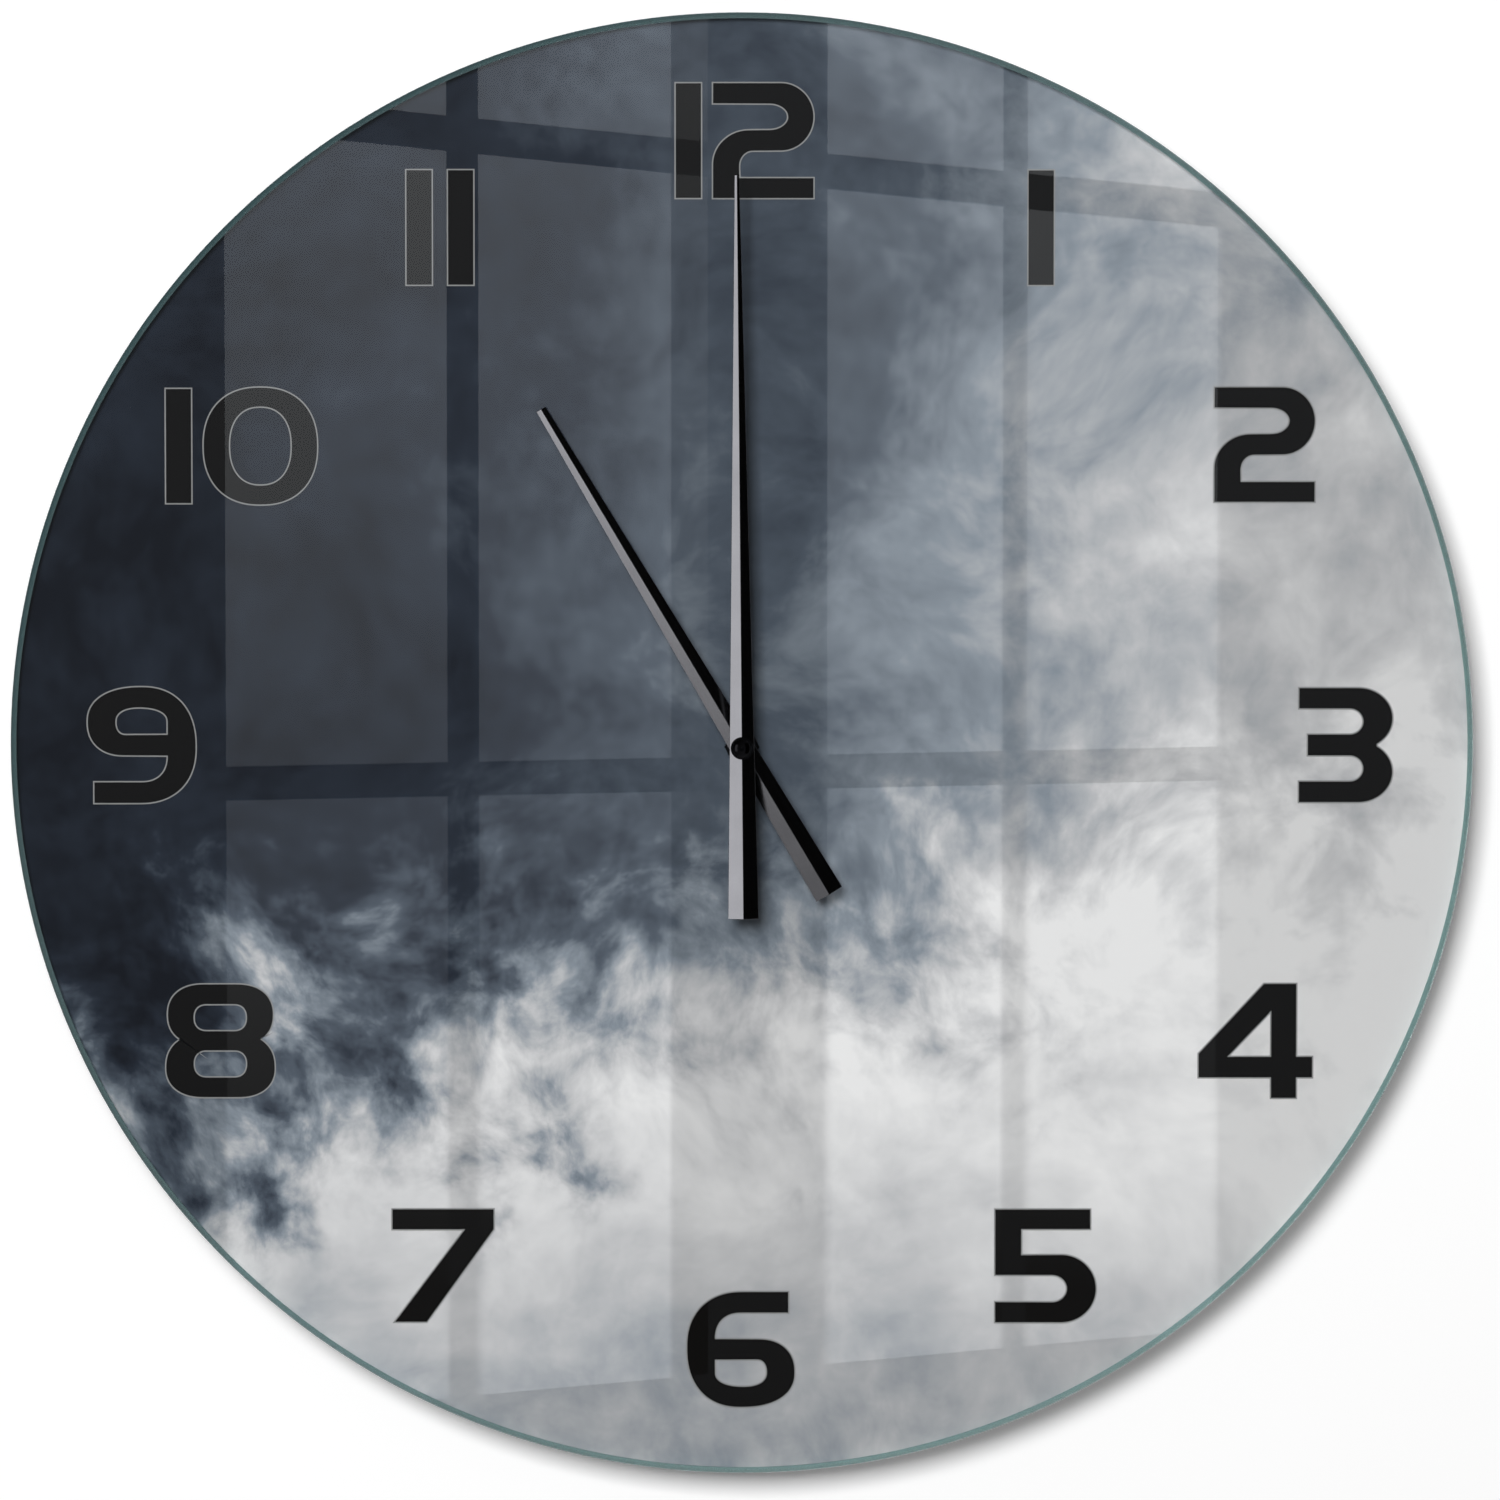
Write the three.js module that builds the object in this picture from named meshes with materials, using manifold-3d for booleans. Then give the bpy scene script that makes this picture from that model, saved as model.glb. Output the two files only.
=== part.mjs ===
// Round glass wall clock, 600 mm across, with a quartz movement behind the dial.
// Sizes are in millimetres. Every piece is drawn as a viewer in front of the clock sees it:
// x runs to the right, y runs up and z runs out from the wall, which is the plane z = 0.
// The dial's centre is x = 0, y = 0. The last lines stand the clock up in a +Z up frame
// whose origin is the seat of the hanger's slot, where the wall screw carries the clock.

import * as THREE from 'three';
import { mergeVertices } from 'three/addons/utils/BufferGeometryUtils.js';
import Module from 'manifold-3d';

const wasm = await Module();
wasm.setup();

// Dial
const DIAL_DIAMETER = 600;
const GLASS_THICKNESS = 4;
const GLASS_ARRIS = 1;
const SHAFT_HOLE_DIAMETER = 10;
const FILM_THICKNESS = 0.25;
const FILM_MARGIN = 0.5;
const BOND_LINE = 0.05;

// Rubber spacers between the dial and the wall
const SPACER_COUNT = 4;
const SPACER_CIRCLE = 480;
const SPACER_DIAMETER = 22;
const SPACER_TIP_DIAMETER = 18;
const SPACER_ROUNDING = 1.5;

// Hands: pressed sheet with a raised ridge, cut square at both ends
const HAND_SHEET = 0.8;
const RIDGE_ANGLE = THREE.MathUtils.degToRad(24);
const MINUTE_HAND = { reach: 233.4, tail: 70, tipWidth: 1.9, tailWidth: 12.5 };
const HOUR_HAND = { reach: 160.7, tail: 70, tipWidth: 4.3, tailWidth: 12.2 };
const MINUTE_HAND_ANGLE = THREE.MathUtils.degToRad(0.5);
const HOUR_HAND_ANGLE = THREE.MathUtils.degToRad(30.7);
const HAND_CLEARANCE = 0.5;

// Fixing stack at the dial's centre
const WALL_GAP = 1.5;
const HANGER_THICKNESS = 1.25;
const GASKET_THICKNESS = 1.5;
const GASKET_DIAMETER = 36;
const FIBRE_WASHER = { thickness: 0.5, diameter: 13 };
const METAL_WASHER = { thickness: 0.5, diameter: 13 };
const NUT_THICKNESS = 2.25;
const NUT_ACROSS_FLATS = 12.5;
const NUT_CHAMFER = 0.4;
const BUSHING_DIAMETER = 8;
const BUSHING_BORE = 5.3;
const BUSHING_FLANGE = { diameter: 10.4, thickness: 0.75 };
const BUSHING_PROUD = 0.5;
const COLLET_FLANGE = 1;
const COLLET_FLANGE_DIAMETER = 9.2;
const COLLET_NECK_DIAMETER = 6.6;
const CAP_NUT = { diameter: 7.8, skirt: 1.8, height: 3.9, boreDepth: 2.9 };
const CAP_NUT_FLANGE = { diameter: 9.2, thickness: 0.6 };

// Hanger plate: clamped by the bushing, stepped back to the wall above the movement
const HANGER_WIDTH = 34;
const HANGER_FOOT = 18;
const HANGER_CORNER = 6;
const HANGER_BEND = 1.5;
const HANGER_CASE_GAP = 3.5;
const SLOT_WIDTH = 5;
const SLOT_CORNER = 1;
const SLOT_LENGTH = 10.5;
const ENTRY_DIAMETER = 10;
const ENTRY_RISE = 2.5;
const TAB_ABOVE_SLOT = 8;

// Movement case, sized by the cell that it holds
const CASE_WALL = 1.5;
const CASE_CORNER = 4;
const COVER_THICKNESS = 1.2;
const PARTITION = 1.2;
const CELL = { diameter: 14, length: 50.5, nubDiameter: 5.4, nubLength: 1, rounding: 0.7 };
const CELL_SIDE_GAP = 0.5;
const CELL_FLOOR_GAP = 0.3;
const CONTACT_SHEET = 0.4;
const CONTACT_SPACE = 1.25;
const CONTACT_TAB_WIDTH = 2;
const CONTACT_DIMPLE = { tipRadius: 1, rootRadius: 2 };

// Wheels: layers are counted from the case's front wall towards the back
const LAYER_THICKNESS = 1.1;
const LAYER_GAP = 0.4;
const FLOOR_GAP = 0.3;
const WHEEL_CLEARANCE = 0.8;
const ARBOR_RADIUS = 0.5;
const PIVOT_BOSS_RADIUS = 1.3;
const PIVOT_DEPTH = 1.8;
const PLATE_THICKNESS = 1.2;
const PLATE_GAP = 0.6;
const PLATE_SIDE_GAP = 0.8;
const PLATE_EDGE_GAP = 0.5;
const PLATE_POST_RADIUS = 1.5;
const PLATE_POST_INSET = 1.6;
const RUNNING = 0.1;
const PRESSED = 0.05;
const SLIP = 0.2;
const MINUTE_ARBOR_RADIUS = 1.65;
const MINUTE_ARBOR_FLATS = 2.4;
const THREAD_RADIUS = 1.25;
const HOUR_PIPE_RADIUS = 2.55;
const MOTION_DISTANCE = 8.4;
const THIRD_DISTANCE = 10;
const INTERMEDIATE_DISTANCE = 10.15;
const ROTOR_DISTANCE = 6.6;
const MOTION_DIRECTION = THREE.MathUtils.degToRad(-20);
const THIRD_DIRECTION = THREE.MathUtils.degToRad(165);
const INTERMEDIATE_DIRECTION = THREE.MathUtils.degToRad(50);
const ROTOR_DIRECTION = THREE.MathUtils.degToRad(70);
const KNOB_DIRECTION = THREE.MathUtils.degToRad(20);
const KNOB = { radius: 6, thickness: 2, recess: 0.4, gap: 0.5, grips: 16, shaftRadius: 1.2 };

// Tooth form: straight flanks, thinned for backlash, as parts of the module and the tooth step
const ADDENDUM = 1;
const DEDENDUM = 1.25;
const ROOT_HALF_STEP = 0.29;
const TIP_HALF_STEP = 0.1;

// Stepping motor and circuit
const MAGNET_RADIUS = 3;
const MAGNET_LENGTH = 3.2;
const STATOR_GAP = 0.4;
const STATOR_RING = 1;
const STATOR_SHEET = 0.8;
const STATOR_BAR = 4;
const STATOR_HALF_SPAN = 16;
const STATOR_POST_RADIUS = 1.2;
const CORE_WIDTH = 3.6;
const BOBBIN_LENGTH = 20;
const BOBBIN_FLANGE_RADIUS = 3.6;
const BOBBIN_TUBE_RADIUS = 2.3;
const BOBBIN_FLANGE = 0.8;
const WINDING_RADIUS = 3.4;
const COIL_CLEARANCE = 0.5;
const BOARD = { width: 4.4, thickness: 1, wallGap: 0.3 };
const BOARD_POST_RADIUS = 1.2;
const BOARD_POST_INSET = 4;
const STRIP_GAP = 0.5;
const CHIP = { radius: 1.6, height: 0.8 };
const CRYSTAL = { radius: 1, length: 6 };

// How far a cutting shape runs past the face that it opens, and how close corners are merged
const OVERCUT = 1;
const MERGE_DISTANCE = 1e-5;

// Facet counts
const DIAL_SEGMENTS = 96;
const ROUND_SEGMENTS = 24;
const SMALL_SEGMENTS = 12;
const DOME_STEPS = 4;
const CORNER_STEPS = 4;

const FINISHES = {
  glass: { color: 0xc4d8d3, roughness: 0.04, metalness: 0 },
  printedFilm: { color: 0x767c84, roughness: 0.55, metalness: 0 },
  blackAnodised: { color: 0x1c1c1f, roughness: 0.32, metalness: 0.9 },
  blackNickel: { color: 0x141416, roughness: 0.25, metalness: 0.9 },
  brass: { color: 0xb9974f, roughness: 0.35, metalness: 1 },
  zincSteel: { color: 0xb4b7ba, roughness: 0.42, metalness: 1 },
  springSteel: { color: 0xc7c9cb, roughness: 0.3, metalness: 1 },
  siliconIron: { color: 0x8d9094, roughness: 0.45, metalness: 1 },
  rubber: { color: 0x1d1d1d, roughness: 0.85, metalness: 0 },
  vulcanFibre: { color: 0x5a2a22, roughness: 0.8, metalness: 0 },
  blackPlastic: { color: 0x202123, roughness: 0.5, metalness: 0 },
  whiteAcetal: { color: 0xe9e7e0, roughness: 0.45, metalness: 0 },
  greyPlastic: { color: 0x8b8d90, roughness: 0.5, metalness: 0 },
  cellSleeve: { color: 0x2f5d73, roughness: 0.35, metalness: 0 },
  circuitBoard: { color: 0x7a5a2e, roughness: 0.6, metalness: 0 },
  copper: { color: 0xa5532f, roughness: 0.4, metalness: 0.8 },
  magnet: { color: 0x4b4d52, roughness: 0.5, metalness: 0.6 },
};

const TOOTHED = {
  minuteWheel: gear(48, 6, THIRD_DISTANCE),
  thirdPinion: gear(6, 48, THIRD_DISTANCE),
  thirdWheel: gear(45, 6, THIRD_DISTANCE),
  secondsPinion: gear(6, 45, THIRD_DISTANCE),
  secondsWheel: gear(48, 8, INTERMEDIATE_DISTANCE),
  intermediatePinion: gear(8, 48, INTERMEDIATE_DISTANCE),
  intermediateWheel: gear(40, 8, ROTOR_DISTANCE),
  rotorPinion: gear(8, 40, ROTOR_DISTANCE),
  cannonPinion: gear(12, 36, MOTION_DISTANCE),
  motionWheel: gear(36, 12, MOTION_DISTANCE),
  knobPinion: gear(12, 36, MOTION_DISTANCE),
  motionPinion: gear(8, 32, MOTION_DISTANCE),
  hourWheel: gear(32, 8, MOTION_DISTANCE),
};

const AXIS = {};
AXIS.centre = new THREE.Vector2(0, 0);
AXIS.motion = stepFrom(AXIS.centre, MOTION_DISTANCE, MOTION_DIRECTION);
AXIS.third = stepFrom(AXIS.centre, THIRD_DISTANCE, THIRD_DIRECTION);
AXIS.intermediate = stepFrom(AXIS.centre, INTERMEDIATE_DISTANCE, INTERMEDIATE_DIRECTION);
AXIS.rotor = stepFrom(AXIS.intermediate, ROTOR_DISTANCE, ROTOR_DIRECTION);
AXIS.knob = stepFrom(AXIS.motion, MOTION_DISTANCE, KNOB_DIRECTION);

// Each phase is the angle of a tooth's middle, chosen so that every pair is in mesh at rest
const PHASE = {};
PHASE.motionWheel = meshedPhase(TOOTHED.cannonPinion, 0, MOTION_DIRECTION, TOOTHED.motionWheel);
PHASE.hourWheel = meshedPhase(TOOTHED.motionPinion, 0, MOTION_DIRECTION + Math.PI, TOOTHED.hourWheel);
PHASE.thirdPinion = meshedPhase(TOOTHED.minuteWheel, 0, THIRD_DIRECTION, TOOTHED.thirdPinion);
PHASE.secondsPinion = meshedPhase(TOOTHED.thirdWheel, 0, THIRD_DIRECTION + Math.PI, TOOTHED.secondsPinion);
PHASE.intermediatePinion = meshedPhase(
  TOOTHED.secondsWheel, 0, INTERMEDIATE_DIRECTION, TOOTHED.intermediatePinion);
PHASE.rotorPinion = meshedPhase(TOOTHED.intermediateWheel, 0, ROTOR_DIRECTION, TOOTHED.rotorPinion);
PHASE.knobPinion = meshedPhase(
  TOOTHED.motionWheel, PHASE.motionWheel, KNOB_DIRECTION, TOOTHED.knobPinion);

// Planes of the movement, as distances from the wall
const CASE_BACK = WALL_GAP;
const CASE_RIM = CASE_BACK + COVER_THICKNESS;
const CASE_FLOOR = CASE_RIM + CELL.diameter + CELL_FLOOR_GAP;
const CASE_FRONT = CASE_FLOOR + CASE_WALL;
const LAYER = Object.fromEntries(
  ['hour', 'motion', 'minute', 'third', 'seconds', 'intermediate'].map((name, i) => {
    const front = CASE_FLOOR - FLOOR_GAP - i * (LAYER_THICKNESS + LAYER_GAP);
    return [name, { front, back: front - LAYER_THICKNESS }];
  }));
const PLATE_FRONT = LAYER.intermediate.back - PLATE_GAP;
const PLATE_BACK = PLATE_FRONT - PLATE_THICKNESS;

// Planes of the fixing stack
const HANGER_FRONT = CASE_FRONT + HANGER_THICKNESS;
const FILM_BACK = HANGER_FRONT + GASKET_THICKNESS;
const GLASS_BACK = FILM_BACK + FILM_THICKNESS + BOND_LINE;
const GLASS_FRONT = GLASS_BACK + GLASS_THICKNESS;
const FIBRE_FRONT = GLASS_FRONT + FIBRE_WASHER.thickness;
const WASHER_FRONT = FIBRE_FRONT + METAL_WASHER.thickness;
const NUT_FRONT = WASHER_FRONT + NUT_THICKNESS;
const BUSHING_FRONT = NUT_FRONT + BUSHING_PROUD;

// Planes of the hands
const HOUR_EDGE = BUSHING_FRONT + HAND_CLEARANCE + COLLET_FLANGE;
const HOUR_PIPE_FRONT = ridgeTop(HOUR_HAND, HOUR_EDGE) + SLIP;
const MINUTE_COLLET_BACK = HOUR_PIPE_FRONT + HAND_CLEARANCE;
const MINUTE_EDGE = MINUTE_COLLET_BACK + COLLET_FLANGE;
const CAP_NUT_BACK = ridgeTop(MINUTE_HAND, MINUTE_EDGE) + SLIP;

// Outline of the case, from the wheels, the cell and the coil
const LOWEST_WHEEL = Math.max(
  tipRadius(TOOTHED.minuteWheel), tipRadius(TOOTHED.motionWheel) - AXIS.motion.y);
const PARTITION_TOP = -LOWEST_WHEEL - WHEEL_CLEARANCE;
const TROUGH_TOP = PARTITION_TOP - PARTITION;
const TROUGH_BOTTOM = TROUGH_TOP - CELL.diameter - 2 * CELL_SIDE_GAP;
const CASE_HALF_WIDTH = CELL.length / 2 + CONTACT_SPACE + CASE_WALL;
const INNER_HALF_WIDTH = CASE_HALF_WIDTH - CASE_WALL;
const STATOR_RADIUS = MAGNET_RADIUS + STATOR_GAP + STATOR_RING;
const COIL_Y = AXIS.rotor.y + STATOR_RADIUS + STATOR_GAP + BOBBIN_FLANGE_RADIUS;
const INNER_TOP = COIL_Y + BOBBIN_FLANGE_RADIUS + COIL_CLEARANCE;
const CASE_TOP = INNER_TOP + CASE_WALL;
const CASE_BOTTOM = TROUGH_BOTTOM - CASE_WALL;
const CELL_Y = (TROUGH_TOP + TROUGH_BOTTOM) / 2;
const CELL_Z = CASE_RIM + CELL.diameter / 2;
const CONTACT_TAB_FRONT = CELL_Z + CONTACT_TAB_WIDTH / 2;

// Motor and board places inside the case
const MAGNET_BACK = LAYER.seconds.back;
const STATOR_BACK = LAYER.seconds.front + SLIP;
const STATOR_FRONT = STATOR_BACK + STATOR_SHEET;
const CORE_FRONT = STATOR_FRONT + STATOR_SHEET;
const CORE_Z = (STATOR_FRONT + CORE_FRONT) / 2;
const BAR_BOTTOM = AXIS.third.y + tipRadius(TOOTHED.thirdWheel) + WHEEL_CLEARANCE;
const LEG_X = STATOR_HALF_SPAN - STATOR_BAR / 2;
const STATOR_POST_Y = BAR_BOTTOM + STATOR_BAR + STATOR_POST_RADIUS;
const BOARD_LEFT = -INNER_HALF_WIDTH + BOARD.wallGap;
const BOARD_X = BOARD_LEFT + BOARD.width / 2;
const PLATE_HALF_WIDTH = -BOARD_LEFT - BOARD.width - PLATE_SIDE_GAP;
const PLATE_TOP = COIL_Y - BOBBIN_FLANGE_RADIUS - COIL_CLEARANCE;
const PLATE_BOTTOM = PARTITION_TOP + PLATE_EDGE_GAP;
const PLATE_POST_TOP = BAR_BOTTOM - PLATE_POST_RADIUS;
const PLATE_POSTS = [-1, 1].flatMap((side) => [
  [side * (PLATE_HALF_WIDTH - PLATE_POST_INSET), PLATE_BOTTOM + PLATE_POST_INSET],
  [side * (PLATE_HALF_WIDTH - PLATE_POST_INSET), PLATE_POST_TOP],
]);
const BOARD_BOTTOM = PARTITION_TOP + CONTACT_SHEET + BOARD.wallGap;
const BOARD_TOP = INNER_TOP - CASE_CORNER + CASE_WALL;
const BOARD_BACK = LAYER.intermediate.front;
const BOARD_FRONT = BOARD_BACK + BOARD.thickness;

// Hanger places
const HANGER_STEP_Y = CASE_TOP + HANGER_CASE_GAP;
const TAB_BACK = WALL_GAP;
const TAB_FRONT = TAB_BACK + HANGER_THICKNESS;
const ENTRY_Y = HANGER_STEP_Y + HANGER_THICKNESS + HANGER_BEND + ENTRY_RISE + ENTRY_DIAMETER / 2;
const SEAT_Y = ENTRY_Y + SLOT_LENGTH;
const TAB_TOP = SEAT_Y + TAB_ABOVE_SLOT;

// Gear wheel whose module follows from the distance to its mate
function gear(teeth, mateTeeth, distance) {
  return { teeth, module: (2 * distance) / (teeth + mateTeeth) };
}

function tipRadius({ teeth, module }) {
  return (teeth / 2 + ADDENDUM) * module;
}

function ordered(a, b) {
  return [Math.min(a, b), Math.max(a, b)];
}

function stepFrom(start, distance, direction) {
  return new THREE.Vector2(
    start.x + distance * Math.cos(direction), start.y + distance * Math.sin(direction));
}

// Phase that puts a gap of the second wheel over the tooth that the first turns towards it
function meshedPhase(first, firstPhase, direction, second) {
  const toothParts = ((direction - firstPhase) * first.teeth) / (2 * Math.PI);
  return direction + Math.PI - ((0.5 - toothParts) * 2 * Math.PI) / second.teeth;
}

function handWidth(hand, y) {
  const share = (y + hand.tail) / (hand.reach + hand.tail);
  return THREE.MathUtils.lerp(hand.tailWidth, hand.tipWidth, share);
}

function ridgeTop(hand, edge) {
  return edge + HAND_SHEET + (handWidth(hand, 0) / 2) * Math.tan(RIDGE_ANGLE);
}

// Closed triangle mesh with shared corners, no collapsed triangles and its faces outward
function closed(geometry) {
  const bare = new THREE.BufferGeometry();
  bare.setAttribute('position', geometry.getAttribute('position'));
  bare.setIndex(geometry.getIndex());
  const merged = mergeVertices(bare, MERGE_DISTANCE);
  const position = merged.getAttribute('position');
  const index = merged.getIndex().array;
  const corners = [0, 1, 2].map(() => new THREE.Vector3());
  const triangles = [];
  let volume = 0;
  for (let i = 0; i < index.length; i += 3) {
    const [a, b, c] = index.slice(i, i + 3);
    if (a === b || b === c || c === a) {
      continue;
    }
    triangles.push([a, b, c]);
    [a, b, c].forEach((vertex, k) => corners[k].fromBufferAttribute(position, vertex));
    volume += corners[0].dot(corners[1].clone().cross(corners[2]));
  }
  const ordered = volume < 0 ? triangles.map(([a, b, c]) => [a, c, b]) : triangles;
  merged.setIndex(ordered.flat());
  return merged;
}

function asSolid(geometry) {
  const mesh = closed(geometry);
  return new wasm.Manifold(new wasm.Mesh({
    numProp: 3,
    vertProperties: new Float32Array(mesh.getAttribute('position').array),
    triVerts: new Uint32Array(mesh.getIndex().array),
  }));
}

function asGeometry(solid) {
  const mesh = solid.getMesh();
  const geometry = new THREE.BufferGeometry();
  geometry.setAttribute('position', new THREE.BufferAttribute(mesh.vertProperties, 3));
  geometry.setIndex(new THREE.BufferAttribute(mesh.triVerts, 1));
  return geometry;
}

function joined(...geometries) {
  return asGeometry(geometries.map(asSolid).reduce((all, next) => all.add(next)));
}

function cutBy(geometry, ...tools) {
  return asGeometry(tools.map(asSolid).reduce((all, next) => all.subtract(next), asSolid(geometry)));
}

function shared(geometry, other) {
  return asGeometry(asSolid(geometry).intersect(asSolid(other)));
}

// Flat outline drawn from the front, given its thickness between two planes
function plate(outline, back, front) {
  const settings = { depth: front - back, bevelEnabled: false, curveSegments: CORNER_STEPS };
  return closed(new THREE.ExtrudeGeometry(outline, settings).translate(0, 0, back));
}

// Profile of [radius, z] points turned about the z axis
function turned(profile, segments = ROUND_SEGMENTS) {
  const points = profile.map(([radius, z]) => new THREE.Vector2(radius, z));
  return closed(new THREE.LatheGeometry(points, segments).rotateX(Math.PI / 2));
}

function ring(outerRadius, innerRadius, back, front, segments = ROUND_SEGMENTS) {
  return turned([
    [innerRadius, back], [outerRadius, back], [outerRadius, front], [innerRadius, front], [innerRadius, back],
  ], segments);
}

function rod(radius, back, front, [x, y] = [0, 0], segments = SMALL_SEGMENTS) {
  const cylinder = new THREE.CylinderGeometry(radius, radius, front - back, segments);
  return cylinder.rotateX(Math.PI / 2).translate(x, y, (back + front) / 2);
}

function block([left, right], [bottom, top], [back, front]) {
  const box = new THREE.BoxGeometry(right - left, top - bottom, front - back);
  return box.translate((left + right) / 2, (bottom + top) / 2, (back + front) / 2);
}

// Rectangle with one radius for its upper corners and another for its lower ones, or none there
function roundedOutline([left, right], [bottom, top], upper, lower = upper) {
  const outline = new THREE.Shape();
  outline.absarc(right - upper, top - upper, upper, 0, Math.PI / 2);
  outline.absarc(left + upper, top - upper, upper, Math.PI / 2, Math.PI);
  if (lower > 0) {
    outline.absarc(left + lower, bottom + lower, lower, Math.PI, 1.5 * Math.PI);
    outline.absarc(right - lower, bottom + lower, lower, 1.5 * Math.PI, 2 * Math.PI);
  } else {
    outline.lineTo(left, bottom);
    outline.lineTo(right, bottom);
  }
  return outline;
}

function toothedOutline({ teeth, module }, phase) {
  const flank = [
    [-DEDENDUM, -ROOT_HALF_STEP], [ADDENDUM, -TIP_HALF_STEP],
    [ADDENDUM, TIP_HALF_STEP], [-DEDENDUM, ROOT_HALF_STEP],
  ];
  const points = [];
  for (let tooth = 0; tooth < teeth; tooth += 1) {
    for (const [height, offset] of flank) {
      const radius = (teeth / 2 + height) * module;
      const angle = phase + ((tooth + offset) * 2 * Math.PI) / teeth;
      points.push(new THREE.Vector2(radius * Math.cos(angle), radius * Math.sin(angle)));
    }
  }
  return new THREE.Shape(points);
}

function toothedDisc(wheel, phase, { back, front }) {
  return plate(toothedOutline(wheel, phase), back, front);
}

// Cylinder with two parallel flats, as on a hand arbor
function flatted(radius, acrossFlats, back, front) {
  const sides = [-acrossFlats / 2, acrossFlats / 2];
  const reach = [-2 * radius, 2 * radius];
  return shared(rod(radius, back, front, [0, 0], ROUND_SEGMENTS), block(reach, sides, [back, front]));
}

function piece(name, geometry, finish) {
  const mesh = new THREE.Mesh(geometry, new THREE.MeshStandardMaterial(FINISHES[finish]));
  mesh.name = name;
  return mesh;
}

function onAxis(mesh, axis) {
  mesh.position.set(axis.x, axis.y, 0);
  return mesh;
}

// Dial: a polished pane with a small chamfer round both rims, and the printed film behind it
function glassDisc() {
  const rim = DIAL_DIAMETER / 2;
  const hole = SHAFT_HOLE_DIAMETER / 2;
  const pane = turned([
    [hole, GLASS_BACK], [rim - GLASS_ARRIS, GLASS_BACK], [rim, GLASS_BACK + GLASS_ARRIS],
    [rim, GLASS_FRONT - GLASS_ARRIS], [rim - GLASS_ARRIS, GLASS_FRONT], [hole, GLASS_FRONT],
    [hole, GLASS_BACK],
  ], DIAL_SEGMENTS);
  return piece('glass_disc', pane, 'glass');
}

function printFilm() {
  const rim = DIAL_DIAMETER / 2 - GLASS_ARRIS - FILM_MARGIN;
  const film = ring(rim, SHAFT_HOLE_DIAMETER / 2, FILM_BACK, FILM_BACK + FILM_THICKNESS, DIAL_SEGMENTS);
  return piece('print_film', film, 'printedFilm');
}

// Rubber spacers glued to the film, with a flat tip that rests on the wall
function spacers() {
  const tip = SPACER_TIP_DIAMETER / 2;
  const profile = [
    [0, 0], [tip - SPACER_ROUNDING, 0], [tip, SPACER_ROUNDING],
    [SPACER_DIAMETER / 2, FILM_BACK], [0, FILM_BACK],
  ];
  return Array.from({ length: SPACER_COUNT }, (_, i) => {
    const direction = ((i + 0.5) * 2 * Math.PI) / SPACER_COUNT;
    const spacer = piece(`wall_spacer_${i + 1}`, turned(profile), 'rubber');
    return onAxis(spacer, stepFrom(AXIS.centre, SPACER_CIRCLE / 2, direction));
  });
}

// Hand of pressed sheet: a roof section, tapered in a straight line from the tail to the tip
function handSection(hand, y, edge) {
  const half = handWidth(hand, y) / 2;
  const rise = half * Math.tan(RIDGE_ANGLE);
  return [
    [-half, edge], [0, edge + rise], [half, edge],
    [half, edge + HAND_SHEET], [0, edge + HAND_SHEET + rise], [-half, edge + HAND_SHEET],
  ].map(([x, z]) => new THREE.Vector3(x, y, z));
}

// Solid between two sections with the same number of corners
function lofted(first, last) {
  const count = first.length;
  const flat = first.map(({ x, z }) => new THREE.Vector2(x, z));
  const caps = THREE.ShapeUtils.triangulateShape(flat, []);
  const triangles = caps.flatMap(([a, b, c]) => [[a, b, c], [count + a, count + c, count + b]]);
  first.forEach((_, i) => {
    const next = (i + 1) % count;
    triangles.push([i, count + i, next], [next, count + i, count + next]);
  });
  const geometry = new THREE.BufferGeometry().setFromPoints([...first, ...last]);
  geometry.setIndex(triangles.flat());
  return closed(geometry);
}

function hand(name, sizes, edge, clockwise) {
  const blade = lofted(handSection(sizes, -sizes.tail, edge), handSection(sizes, sizes.reach, edge));
  const hole = rod(
    COLLET_NECK_DIAMETER / 2 + SLIP, edge - OVERCUT, ridgeTop(sizes, edge) + OVERCUT, [0, 0], ROUND_SEGMENTS);
  const mesh = piece(name, cutBy(blade, hole), 'blackAnodised');
  mesh.rotation.z = clockwise;
  return mesh;
}

// Collet: the flange lies behind the hand and the neck is riveted through it
function colletBlank(back, front) {
  const flange = COLLET_FLANGE_DIAMETER / 2;
  const neck = COLLET_NECK_DIAMETER / 2;
  return turned([
    [0, back], [flange, back], [flange, back + COLLET_FLANGE],
    [neck, back + COLLET_FLANGE], [neck, front], [0, front],
  ]);
}

function minuteCollet() {
  const blank = colletBlank(MINUTE_COLLET_BACK, CAP_NUT_BACK);
  const bore = flatted(
    MINUTE_ARBOR_RADIUS + PRESSED, MINUTE_ARBOR_FLATS + 2 * PRESSED,
    MINUTE_COLLET_BACK - OVERCUT, CAP_NUT_BACK + OVERCUT);
  const mesh = piece('minute_collet', cutBy(blank, bore), 'brass');
  mesh.rotation.z = MINUTE_HAND_ANGLE;
  return mesh;
}

function hourCollet() {
  const blank = colletBlank(HOUR_EDGE - COLLET_FLANGE, HOUR_PIPE_FRONT);
  const bore = rod(
    HOUR_PIPE_RADIUS + PRESSED, BUSHING_FRONT, HOUR_PIPE_FRONT + OVERCUT, [0, 0], ROUND_SEGMENTS);
  return piece('hour_collet', cutBy(blank, bore), 'brass');
}

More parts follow.
